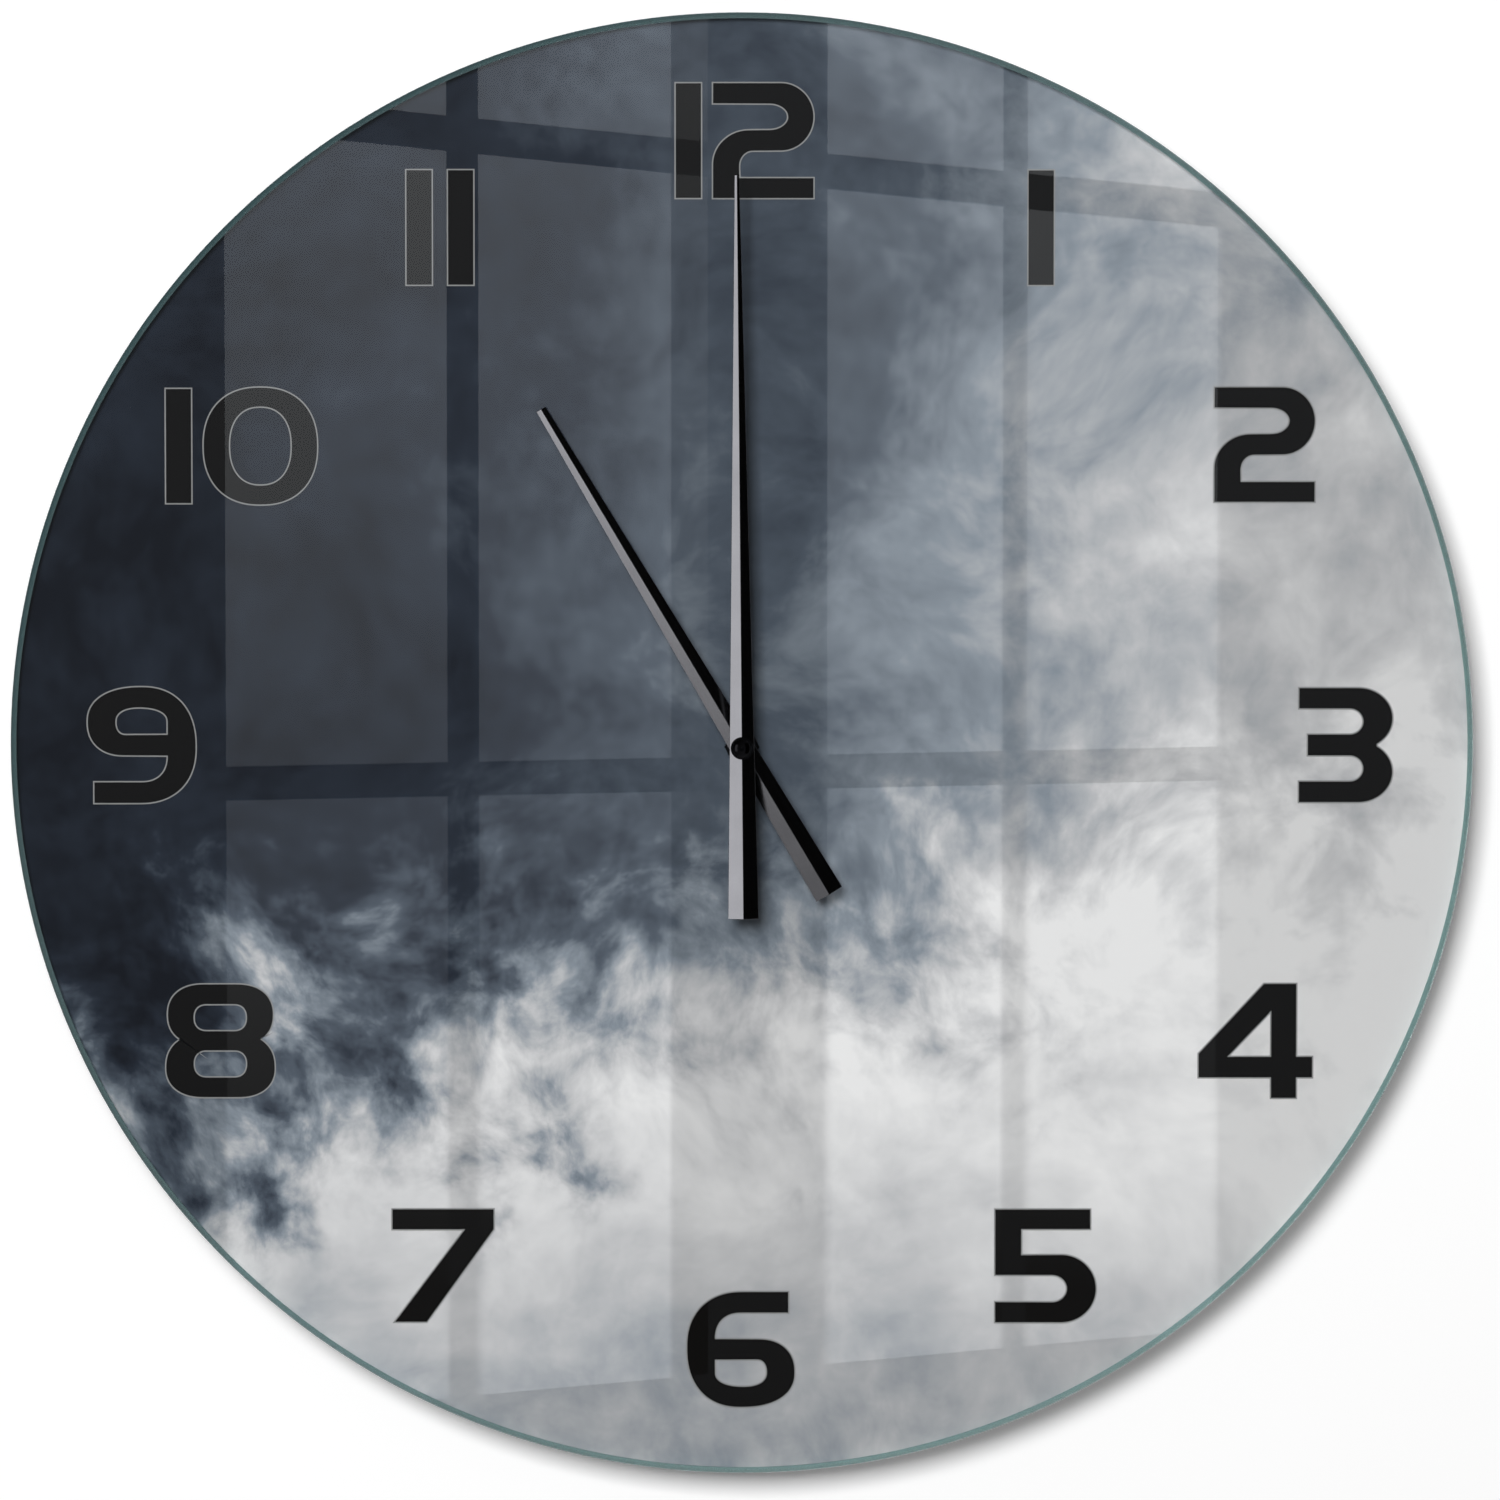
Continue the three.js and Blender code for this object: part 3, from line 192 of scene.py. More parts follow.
def uneven(tree: Tree, colour: str, place: Socket, size: float, spread: float) -> Socket:
    """Make a colour a little lighter and darker from place to place.

    Args:
        tree: node tree of the material.
        colour: sRGB hex value.
        place: place on the piece, in millimetres.
        size: size of the patches, in millimetres.
        spread: how far the brightness goes up and down, as a share of itself.

    Returns:
        Output socket with the colour.
    """
    patches = add_node(
        tree, "ShaderNodeTexNoise", {"Scale": 1 / size, "Detail": 2.0}, {"Vector": place}
    )
    shade = add_node(
        tree,
        "ShaderNodeMapRange",
        {"To Min": 1 - spread, "To Max": 1 + spread},
        {"Value": patches.outputs["Fac"]},
    )
    return add_node(
        tree,
        "ShaderNodeHueSaturation",
        {"Color": linear(colour)},
        {"Value": shade.outputs["Result"]},
    ).outputs["Color"]


def worked(tree: Tree, marks: Socket, gloss: Point, depth: float) -> Links:
    """Let the marks of a tool or a mould show in the gloss and the form of a surface.

    Args:
        tree: node tree of the material.
        marks: pattern of the marks, from 0 in their hollows to 1 on their tops.
        gloss: roughness in the hollows and on the tops.
        depth: depth of the marks, in millimetres.

    Returns:
        What feeds the shader's roughness and normal.
    """
    rough = add_node(
        tree, "ShaderNodeMapRange", {"To Min": gloss[0], "To Max": gloss[1]}, {"Value": marks}
    )
    bump = add_node(tree, "ShaderNodeBump", {"Distance": depth * MM}, {"Height": marks})
    return {"Roughness": rough.outputs["Result"], "Normal": bump.outputs["Normal"]}


# ---- finishes


@dataclass(frozen=True)
class Finish:
    """A finish, named for what the real surface is."""

    name: str

    def material(self) -> bpy.types.Material:
        """Make the finish's material the first time, and find it again after that.

        Returns:
            The material.
        """
        found = bpy.data.materials.get(self.name)
        if found is not None:
            return found
        made = bpy.data.materials.new(self.name)
        made.use_nodes = True
        made.node_tree.nodes.clear()
        surface = self.surface(made.node_tree)
        add_node(made.node_tree, "ShaderNodeOutputMaterial", links={"Surface": surface})
        return made

    def surface(self, tree: Tree) -> Socket:
        """Add the finish's nodes.

        Args:
            tree: node tree of the material.

        Returns:
            Output socket of its shader.
        """
        values, links = self.inputs(tree)
        return add_node(tree, "ShaderNodeBsdfPrincipled", values, links).outputs["BSDF"]

    def inputs(self, tree: Tree) -> Inputs:
        """Add the finish's patterns.

        Args:
            tree: node tree of the material.

        Returns:
            The shader's constants, and what feeds its other inputs.
        """
        raise NotImplementedError


@dataclass(frozen=True)
class MouldedFinish(Finish):
    """Moulded plastic or rubber: an even colour with a fine eroded grain from the mould."""

    colour: str
    roughness: float = 0.5
    gloss_spread: float = 0.08
    grain: float = 0.35
    depth: float = 0.02
    ior: float = 1.5
    mottle: float = 0.06
    mottle_size: float = 9.0

    def inputs(self, tree: Tree) -> Inputs:
        """Add the finish's patterns.

        Args:
            tree: node tree of the material.

        Returns:
            The shader's constants, and what feeds its other inputs.
        """
        place = place_in_mm(tree)
        grain = add_node(
            tree,
            "ShaderNodeTexNoise",
            {"Scale": 1 / self.grain, "Detail": 3.0, "Roughness": 0.6},
            {"Vector": place},
        )
        gloss = (self.roughness - self.gloss_spread, self.roughness + self.gloss_spread)
        tone = uneven(tree, self.colour, place, self.mottle_size, self.mottle)
        marks = worked(tree, grain.outputs["Fac"], gloss, self.depth)
        return {"IOR": self.ior}, {"Base Color": tone} | marks


@dataclass(frozen=True)
class MetalFinish(Finish):
    """Metal or a plated coat, with the fine marks of the tool that made its surface."""

    colour: str
    second: str
    roughness: float = 0.3
    gloss_spread: float = 0.2
    pitch: float = 0.25
    depth: float = 0.004
    grain: Grain = Grain.BLASTED
    streak: float = 25.0
    cloud: float = 14.0

    def marks(self, tree: Tree) -> Socket:
        """Add the pattern of the tool's marks.

        Args:
            tree: node tree of the material.

        Returns:
            Output socket with their height, from 0 to 1.
        """
        if self.grain is Grain.TURNED:
            flat = place_in_mm(tree, stretch=(1.0, 0.0, 1.0))
            radius = add_node(tree, "ShaderNodeVectorMath", links={0: flat}, operation="LENGTH")
            place = add_node(
                tree, "ShaderNodeCombineXYZ", links={"X": radius.outputs["Value"]}
            ).outputs["Vector"]
        elif self.grain is Grain.ROLLED:
            place = place_in_mm(tree, stretch=(1.0, 1.0, 1 / self.streak))
        else:
            place = place_in_mm(tree)
        noise = add_node(
            tree,
            "ShaderNodeTexNoise",
            {"Scale": 1 / self.pitch, "Detail": 4.0, "Roughness": 0.65},
            {"Vector": place},
        )
        return noise.outputs["Fac"]

    def inputs(self, tree: Tree) -> Inputs:
        """Add the finish's patterns.

        Args:
            tree: node tree of the material.

        Returns:
            The shader's constants, and what feeds its other inputs.
        """
        cloud = add_node(
            tree,
            "ShaderNodeTexNoise",
            {"Scale": 1 / self.cloud, "Detail": 4.0},
            {"Vector": place_in_mm(tree)},
        )
        tone = add_node(
            tree,
            "ShaderNodeMix",
            {6: linear(self.colour), 7: linear(self.second)},
            {"Factor": cloud.outputs["Fac"]},
            data_type="RGBA",
        )
        low, high = 1 - self.gloss_spread, 1 + self.gloss_spread
        gloss = (self.roughness * low, self.roughness * high)
        marks = worked(tree, self.marks(tree), gloss, self.depth)
        return {"Metallic": 1.0}, {"Base Color": tone.outputs[2]} | marks


@dataclass(frozen=True)
class GlassFinish(Finish):
    """Float glass: clear and mirror smooth, and lamps reach the print through it."""

    colour: str
    roughness: float = 0.0
    ior: float = 1.52

    def surface(self, tree: Tree) -> Socket:
        """Add the finish's nodes.

        Args:
            tree: node tree of the material.

        Returns:
            Output socket of its shader.
        """
        shader = add_node(
            tree,
            "ShaderNodeBsdfPrincipled",
            {
                "Base Color": linear(self.colour),
                "Roughness": self.roughness,
                "IOR": self.ior,
                "Transmission Weight": 1.0,
            },
        )
        clear = add_node(tree, "ShaderNodeBsdfTransparent")
        path = add_node(tree, "ShaderNodeLightPath")
        lamp = add_node(
            tree,
            "ShaderNodeMath",
            links={0: path.outputs["Is Shadow Ray"], 1: path.outputs["Is Diffuse Ray"]},
            operation="MAXIMUM",
        )
        mixed = add_node(
            tree,
            "ShaderNodeMixShader",
            links={0: lamp.outputs[0], 1: shader.outputs["BSDF"], 2: clear.outputs["BSDF"]},
        )
        return mixed.outputs["Shader"]


@dataclass(frozen=True)
class GroundEdgeFinish(Finish):
    """Ground and polished edge of float glass: its iron shows as blue-green, a little milky, with
    painted light that makes it lighter towards one side.
    """

    colour: str
    # Colour of the painted light, where the edge is lightest
    painted_light_colour: str
    reach: float = 250.0
    lean: tuple[float, float, float] = (0.85, 0.0, -0.6)
    wheel: float = 0.8
    gloss: Point = (0.15, 0.3)
    clearness: float = 0.75
    ior: float = 1.52

    def inputs(self, tree: Tree) -> Inputs:
        """Add the finish's patterns.

        Args:
            tree: node tree of the material.

        Returns:
            The shader's constants, and what feeds its other inputs.
        """
        place = place_in_mm(tree)
        # Painted light: the edge's colour goes from dark teal to light teal along a slant, lighter
        # towards the lower right
        side = add_node(
            tree, "ShaderNodeVectorMath", {1: self.lean}, {0: place}, operation="DOT_PRODUCT"
        )
        share = add_node(
            tree,
            "ShaderNodeMapRange",
            {"From Min": -self.reach, "From Max": self.reach},
            {"Value": side.outputs["Value"]},
        )
        tint_with_painted_light = add_node(
            tree,
            "ShaderNodeMix",
            {6: linear(self.colour), 7: linear(self.painted_light_colour)},
            {"Factor": share.outputs["Result"]},
            data_type="RGBA",
        )
        wheel = add_node(
            tree, "ShaderNodeTexNoise", {"Scale": 1 / self.wheel, "Detail": 3.0}, {"Vector": place}
        )
        gloss = add_node(
            tree,
            "ShaderNodeMapRange",
            {"To Min": self.gloss[0], "To Max": self.gloss[1]},
            {"Value": wheel.outputs["Fac"]},
        )
        values = {"IOR": self.ior, "Transmission Weight": self.clearness}
        return values, {"Base Color": tint_with_painted_light.outputs[2], "Roughness": gloss.outputs["Result"]}


@dataclass(frozen=True)
class InkFinish(Finish):
    """Ink cured on the back of the glass: matt, with no gloss of its own behind the pane."""

    colour: str
    roughness: float = 0.6
    streak: float = 7.0
    streak_length: float = 5.0
    streak_spread: float = 0.07

    def inputs(self, tree: Tree) -> Inputs:
        """Add the finish's patterns.

        Args:
            tree: node tree of the material.

        Returns:
            The shader's constants, and what feeds its other inputs.
        """
        place = place_in_mm(tree, stretch=(1.0, 1.0, 1 / self.streak_length))
        tone = uneven(tree, self.colour, place, self.streak, self.streak_spread)
        return {"Roughness": self.roughness, "Specular IOR Level": 0.0}, {"Base Color": tone}


@dataclass(frozen=True)
class MistPrintFinish(Finish):
    """Full-colour print of drifting mist: night blue at the left, pale at the right and below.

    Its tone, from 0 to 1, is that of the air above a bank of mist, or of the bank where the depth
    below its crest is great. Each is a sum of named patterns by their weights.
    """

    centre: tuple[float, float, float]
    roughness: float = 0.6
    # Size of the swirls and how far they push, in millimetres, from the coarse to the fine
    drift: Point = (150.0, 60.0)
    curl: Point = (40.0, 12.0)
    fray: Point = (12.0, 5.0)
    # Size in millimetres and finer layers of each cloud pattern, and the size of the round puffs
    banks: Point = (150.0, 4.0)
    billows: Point = (52.0, 6.0)
    wisps: Point = (13.0, 5.0)
    puff: float = 30.0
    raggedness: float = 0.58
    # Patterns that go smoothly from 0 to 1 over a span of another one, in millimetres
    spans: tuple[tuple[str, str, float, float], ...] = (
        ("haze", "across", -250.0, 300.0),
        ("inward", "across", -150.0, -10.0),
        ("upward", "up", 40.0, 190.0),
        ("foot", "depth", 260.0, 450.0),
        ("veil", "depth", 162.0, 312.0),
    )
    # Air: dark at the left, hazy at the right, thinner high up and right of the middle
    air_start: float = -0.38
    air: Weights = (
        ("haze", 0.84),
        ("shelter", -0.08),
        ("banks", 0.42),
        ("billows", 0.34),
        ("wisps", 0.10),
    )
    # Depth below the bank's crest, in millimetres; the crest rises to the right
    crest: float = -84.0
    depth: Weights = (
        ("up", -1.0),
        ("across", 0.22),
        ("banks", 210.0),
        ("billows", 110.0),
        ("puffs", 80.0),
        ("wisps", 22.0),
    )
    # Bank: lit from above along its crest, greyer towards the foot
    lit_start: float = 0.52
    lit: Weights = (
        ("billows", 0.42),
        ("across", 0.0004),
        ("puffs", 0.24),
        ("wisps", 0.10),
        ("foot", -0.26),
    )
    tones: tuple[tuple[float, str], ...] = (
        (0.0, "#11151d"),
        (0.2, "#252c37"),
        (0.4, "#4a535e"),
        (0.6, "#7c858e"),
        (0.8, "#b6b7b9"),
        (1.0, "#dddddd"),
    )

    def swirled(self, tree: Tree, place: Socket, swirl: Point) -> Socket:
        """Push the place about, so that what is drawn on it swirls.

        Args:
            tree: node tree of the material.
            place: where on the print, in millimetres.
            swirl: size of the swirls, and how far they push from side to side, in millimetres.

        Returns:
            Output socket with the new place.
        """
        size, reach = swirl
        drift = add_node(
            tree,
            "ShaderNodeTexNoise",
            {"Scale": 1 / size, "Detail": 1.0},
            {"Vector": place},
            noise_dimensions="2D",
        )
        push = add_node(
            tree,
            "ShaderNodeVectorMath",
            {1: (reach, reach, 0.0), 2: (-reach / 2, -reach / 2, 0.0)},
            {0: drift.outputs["Color"]},
            operation="MULTIPLY_ADD",
        )
        moved = add_node(
            tree,
            "ShaderNodeVectorMath",
            links={0: place, 1: push.outputs["Vector"]},
            operation="ADD",
        )
        return moved.outputs["Vector"]

    def clouds(self, tree: Tree) -> Patterns:
        """Add the place on the print and the cloud patterns.

        Args:
            tree: node tree of the material.

        Returns:
            The patterns by name.
        """
        axes = add_node(
            tree, "ShaderNodeSeparateXYZ", links={0: place_in_mm(tree, self.centre)}
        ).outputs
        flat = add_node(tree, "ShaderNodeCombineXYZ", links={"X": axes["X"], "Y": axes["Z"]})
        drifting = self.swirled(tree, flat.outputs["Vector"], self.drift)
        curling = self.swirled(tree, drifting, self.curl)
        fraying = self.swirled(tree, curling, self.fray)
        found = {"across": axes["X"], "up": axes["Z"]}
        for name, place, (size, detail) in (
            ("banks", drifting, self.banks),
            ("billows", curling, self.billows),
            ("wisps", fraying, self.wisps),
        ):
            found[name] = add_node(
                tree,
                "ShaderNodeTexNoise",
                {"Scale": 1 / size, "Detail": detail, "Roughness": self.raggedness},
                {"Vector": place},
                noise_dimensions="2D",
            ).outputs["Fac"]
        cells = add_node(
            tree,
            "ShaderNodeTexVoronoi",
            {
                "Scale": 1 / self.puff,
                "Detail": 4.0,
                "Roughness": 0.55,
                "Lacunarity": 2.3,
                "Smoothness": 0.7,
            },
            {"Vector": curling},
            voronoi_dimensions="2D",
            feature="SMOOTH_F1",
            normalize=True,
        )
        found["puffs"] = add_node(
            tree, "ShaderNodeMath", {0: 1.0}, {1: cells.outputs["Distance"]}, operation="SUBTRACT"
        ).outputs[0]
        return found

    def ease(self, tree: Tree, found: Patterns, *sources: str) -> None:
        """Add the patterns that go smoothly from 0 to 1 over a span of another.

        Args:
            tree: node tree of the material.
            found: the patterns by name, which gets the new ones.
            *sources: names of the patterns whose spans are added.
        """
        for name, source, low, high in self.spans:
            if source in sources:
                found[name] = add_node(
                    tree,
                    "ShaderNodeMapRange",
                    {"From Min": low, "From Max": high},
                    {"Value": found[source]},
                    interpolation_type="SMOOTHSTEP",
                ).outputs["Result"]

    def total(self, tree: Tree, found: Patterns, start: float, weights: Weights) -> Socket:
        """Add up patterns by their weights.

        Args:
            tree: node tree of the material.
            found: the patterns by name.
            start: number that the sum starts from.
            weights: name and weight of each pattern in the sum.

        Returns:
            Output socket with the sum.
        """
        links: Links = {}
        for name, weight in weights:
            links[0] = found[name]
            links[2] = add_node(
                tree, "ShaderNodeMath", {1: weight, 2: start}, links, operation="MULTIPLY_ADD"
            ).outputs[0]
        return links[2]

    def inputs(self, tree: Tree) -> Inputs:
        """Add the finish's patterns.

        Args:
            tree: node tree of the material.

        Returns:
            The shader's constants, and what feeds its other inputs.
        """
        found = self.clouds(tree)
        self.ease(tree, found, "across", "up")
        found["shelter"] = add_node(
            tree,
            "ShaderNodeMath",
            links={0: found["inward"], 1: found["upward"]},
            operation="MULTIPLY",
        ).outputs[0]
        air = self.total(tree, found, self.air_start, self.air)
        found["depth"] = self.total(tree, found, self.crest, self.depth)
        self.ease(tree, found, "depth")
        lit = self.total(tree, found, self.lit_start, self.lit)
        difference = add_node(tree, "ShaderNodeMath", links={0: lit, 1: air}, operation="SUBTRACT")
        tone = add_node(
            tree,
            "ShaderNodeMath",
            links={0: difference.outputs[0], 1: found["veil"], 2: air},
            operation="MULTIPLY_ADD",
        )
        ramp = add_node(tree, "ShaderNodeValToRGB", links={"Fac": tone.outputs[0]})
        set_stops(ramp, [(place, linear(colour)) for place, colour in self.tones])
        values = {"Roughness": self.roughness, "Specular IOR Level": 0.0}
        return values, {"Base Color": ramp.outputs["Color"]}


@dataclass(frozen=True)
class WindingFinish(Finish):
    """Enamelled copper wire wound turn by turn: each turn painted lighter on its top and darker in
    the groove beside the next, as painted highlight and shade.
    """

    colour: str
    second: str = "#7c3a1f"
    roughness: float = 0.35
    metal: float = 0.8
    wire: float = 0.3
    wave: float = 0.31
    depth: float = 0.1

    def inputs(self, tree: Tree) -> Inputs:
        """Add the finish's patterns.

        Args:
            tree: node tree of the material.

        Returns:
            The shader's constants, and what feeds its other inputs.
        """
        turns = add_node(
            tree,
            "ShaderNodeTexWave",
            {"Scale": self.wave / self.wire, "Distortion": 0.2},
            {"Vector": place_in_mm(tree)},
        ).outputs["Fac"]
        # Painted highlight and shade: the darker colour lies in the grooves between turns and the
        # lighter one on their tops
        tone = add_node(
            tree,
            "ShaderNodeMix",
            {6: linear(self.second), 7: linear(self.colour)},
            {"Factor": turns},
            data_type="RGBA",
        )
        bump = add_node(tree, "ShaderNodeBump", {"Distance": self.depth * MM}, {"Height": turns})
        values = {"Metallic": self.metal, "Roughness": self.roughness}
        return values, {"Base Color": tone.outputs[2], "Normal": bump.outputs["Normal"]}


@dataclass(frozen=True)
class BackdropFinish(Finish):
    """Matt wall or floor paint, seen from its front only so that it never hides the clock."""

    colour: str
    glow: float

    def surface(self, tree: Tree) -> Socket:
        """Add the finish's nodes.

        Args:
            tree: node tree of the material.

        Returns:
            Output socket of its shader.
        """
        paint = add_node(tree, "ShaderNodeBsdfDiffuse", {"Color": linear(self.colour)})
        path = add_node(tree, "ShaderNodeLightPath")
        lift = add_node(
            tree,
            "ShaderNodeMath",
            {1: self.glow},
            {0: path.outputs["Is Camera Ray"]},
            operation="MULTIPLY",
        )
        glow = add_node(
            tree,
            "ShaderNodeEmission",
            {"Color": linear(self.colour)},
            {"Strength": lift.outputs[0]},
        )
        lit = add_node(tree, "ShaderNodeAddShader", links={0: paint.outputs[0], 1: glow.outputs[0]})
        clear = add_node(tree, "ShaderNodeBsdfTransparent")
        side = add_node(tree, "ShaderNodeNewGeometry")
        mixed = add_node(
            tree,
            "ShaderNodeMixShader",
            links={0: side.outputs["Backfacing"], 1: lit.outputs[0], 2: clear.outputs[0]},
        )
        return mixed.outputs["Shader"]


@dataclass(frozen=True)
class CardFinish(Finish):
    """Studio card that only shows in reflections, brighter at its top than at its foot."""

    colour: str
    levels: Point = (0.0, 0.0)
    heights: Point = (-500.0, 500.0)

    def surface(self, tree: Tree) -> Socket:
        """Add the finish's nodes.

        Args:
            tree: node tree of the material.

        Returns:
            Output socket of its shader.
        """
        height = add_node(tree, "ShaderNodeSeparateXYZ", links={0: place_in_mm(tree)})
        ends = zip(("From Min", "From Max", "To Min", "To Max"), (*self.heights, *self.levels))
        strength = add_node(tree, "ShaderNodeMapRange", dict(ends), {"Value": height.outputs["Z"]})
        glow = add_node(
            tree,
            "ShaderNodeEmission",
            {"Color": linear(self.colour)},
            {"Strength": strength.outputs["Result"]},
        )
        return glow.outputs["Emission"]


# Float glass, drawn and fire-polished: its surface has no texture, so only reflections show it
FLOAT_GLASS = GlassFinish("float_glass_fire_polished", "#fdfefe")
# The cut edge is ground and polished by a felt wheel: satin and coloured by the length of glass.
# Painted light makes it lighter towards the lower right, standing in for the light that comes
# through the pale print beside it
GLASS_EDGE = GroundEdgeFinish("float_glass_ground_edge", "#648a8e", painted_light_colour="#accdcb")
# UV-cured ink needs no gloss, because the glass in front of it gives the shine. The print head's
# passes leave faint streaks, drawn 7 mm apart because the real 0.1 mm dots are too fine to show
NUMERAL_INK = InkFinish("uv_cured_black_ink", "#0e0d0c")
KEYLINE_INK = InkFinish("uv_cured_grey_ink", "#8e8f8f")
# White ink rolled over the print's back: chalky, with a faint tooth
BACKING = MouldedFinish(
    "rolled_white_backing", "#e6e6e2", 0.7, grain=0.6, depth=0.015, ior=1.48, mottle=0.02
)
# Aluminium sheet, black anodised over a fine blast: dark, and bright only where light is steep
HAND_METAL = MetalFinish(
    "black_anodised_aluminium", "#5e5e61", "#535356", 0.22, pitch=0.12, depth=0.0005
)
# Black nickel over turned brass: nearly black, with a small bright glint where it is steep
TURNED_NICKEL = MetalFinish(
    "black_nickel_turned", "#131315", "#101012", 0.16, pitch=0.2, depth=0.001
)
# Black nickel over stamped steel: a touch paler and softer than the turned nut
STAMPED_NICKEL = MetalFinish(
    "black_nickel_stamped", "#232427", "#1c1d1f", 0.28, pitch=0.3, depth=0.002
)
# Free-cutting brass from a lathe: fine rings catch the light
BRASS = MetalFinish(
    "turned_brass", "#c9a65c", "#b8944d", 0.28, pitch=0.15, depth=0.003, grain=Grain.TURNED
)
# Zinc-plated steel strip: bluish, with the long streaks of the rolls
ZINC = MetalFinish(
    "zinc_plated_steel_rolled", "#b9bec4", "#9fa5ac", 0.38, pitch=0.35, grain=Grain.ROLLED
)
# Nickel-plated spring strip: bright and slightly warm, with fine streaks
SPRING = MetalFinish(
    "nickel_plated_spring_steel",
    "#cfd0d0",
    "#bfc1c2",
    0.25,
    pitch=0.3,
    depth=0.002,
    grain=Grain.ROLLED,
)
# Punched silicon iron: grey and dull, streaked by the rolls
SILICON_IRON = MetalFinish(
    "punched_silicon_iron", "#8f9296", "#7c7f83", 0.42, pitch=0.4, grain=Grain.ROLLED
)
# Sintered magnet: dark grey and dry, with a sandy grain
MAGNET = MetalFinish("sintered_magnet", "#55575c", "#46484c", 0.55, pitch=0.3, depth=0.006)
# ABS from a spark-eroded mould: dull, with a fine grain
BLACK_ABS = MouldedFinish("black_abs_moulded", "#1f2022", grain=0.45, depth=0.03, ior=1.53)
GREY_ABS = MouldedFinish("grey_abs_moulded", "#8b8d90", grain=0.45, ior=1.53)
# Acetal, moulded in a polished tool: creamy and a little waxy
ACETAL = MouldedFinish(
    "white_acetal_moulded", "#e4e2da", 0.4, grain=0.6, depth=0.006, ior=1.48, mottle=0.03
)
# Moulded rubber: matt black with a dusty grain
RUBBER = MouldedFinish(
    "black_rubber_moulded", "#1c1c1c", 0.82, grain=0.3, depth=0.03, ior=1.52, mottle=0.12
)
# Vulcanised fibre: dry, red-brown, like dense card
FIBRE = MouldedFinish(
    "vulcanised_fibre_punched", "#5e2d24", 0.8, grain=0.5, ior=1.55, mottle=0.15
)
# PVC film shrunk over the cell: glossy, with slow waves
SLEEVE, SLEEVE_BAND = (
    MouldedFinish(name, colour, 0.28, grain=2.5, depth=0.01, ior=1.54, mottle=0.04)
    for name, colour in (("shrunk_pvc_sleeve", "#2f5d73"), ("shrunk_pvc_sleeve_band", "#c9cdd0"))
)
# Phenolic paper board: brown, dry and faintly mottled
BOARD = MouldedFinish(
    "phenolic_paper_board", "#7a5a2e", 0.6, grain=0.8, depth=0.01, ior=1.55, mottle=0.15
)
# Enamelled copper wire: warm, with a painted highlight on each turn and painted shade between turns
WINDING = WindingFinish("enamelled_copper_winding", "#b5663b")


# ---- meshes


def sweep(
    centre: Point, radii: Point, start: float, end: float, steps: int = 20, power: float = 2.0
) -> list[Point]:
    """Points along part of an ellipse or superellipse.

    Args:
        centre: middle of the ellipse.
        radii: half widths along the two axes.
        start: first angle in degrees.
        end: last angle in degrees, which may be lower.
        steps: number of steps for each quarter turn.
        power: 2 for an ellipse, and more for one that fills its corners.

    Returns:
        The points, both ends included.
    """
    count = max(2, round(abs(end - start) / 90 * steps))
    points = []
    for i in range(count + 1):
        angle = math.radians(start + (end - start) * i / count)
        cosine, sine = math.cos(angle), math.sin(angle)
        points.append(
            (
                centre[0] + radii[0] * math.copysign(abs(cosine) ** (2 / power), cosine),
                centre[1] + radii[1] * math.copysign(abs(sine) ** (2 / power), sine),
            )
        )
    return points


def rounded(corners: Sequence[tuple[float, float, float]], steps: int = 4) -> list[Point]:
    """Closed outline with its corners rounded.

    Args:
        corners: x, y and radius of each corner, in order.
        steps: number of steps in each arc.

    Returns:
        The outline's points.
    """
    points = []
    for i, (x, y, radius) in enumerate(corners):
        here = Vector((x, y))
        if radius <= 0:
            points.append((x, y))
            continue
        before = (Vector(corners[i - 1][:2]) - here).normalized()
        after = (Vector(corners[(i + 1) % len(corners)][:2]) - here).normalized()
        half = before.angle(after) / 2
        middle = here + (before + after).normalized() * radius / math.sin(half)
        first = here + before * radius / math.tan(half) - middle
        last = here + after * radius / math.tan(half) - middle
        turn = first.angle_signed(last)
        for k in range(steps + 1):
            arm = first.copy()
            arm.rotate(Matrix.Rotation(-turn * k / steps, 2))
            points.append(tuple(middle + arm))
    return points


def grown(outline: Profile, distance: float) -> list[Point]:
    """Outline moved sideways, to its right as its points run.

    Args:
        outline: closed outline.
        distance: how far it moves; an outline that runs anticlockwise grows.

    Returns:
        The moved outline, point for point.
    """
    moved = []
    for i, point in enumerate(outline):
        here = Vector(point)
        before = (here - Vector(outline[i - 1])).normalized()
        after = (Vector(outline[(i + 1) % len(outline)]) - here).normalized()
        first, last = Vector((before.y, -before.x)), Vector((after.y, -after.x))
        moved.append(tuple(here + (first + last) * distance / (1 + first.dot(last))))
    return moved


def box_mm(node: str) -> tuple[Vector, Vector]:
    """Lowest and highest corner of a CAD node in millimetres."""
    low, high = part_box(node)
    return low / MM, high / MM


@dataclass(frozen=True)
class Seat:
    """Place of a round CAD node: its axis as x and z, its radius, and its ends along y."""

    centre: Point
    radius: float
    front: float
    back: float

    @classmethod
    def of(cls, node: str) -> "Seat":
        """Read a node's place from the frame.

        Args:
            node: its name.

        Returns:
            The place.
        """
        low, high = box_mm(node)
        centre = ((low.x + high.x) / 2, (low.z + high.z) / 2)
        return cls(centre, (high.x - low.x) / 2, low.y, high.y)


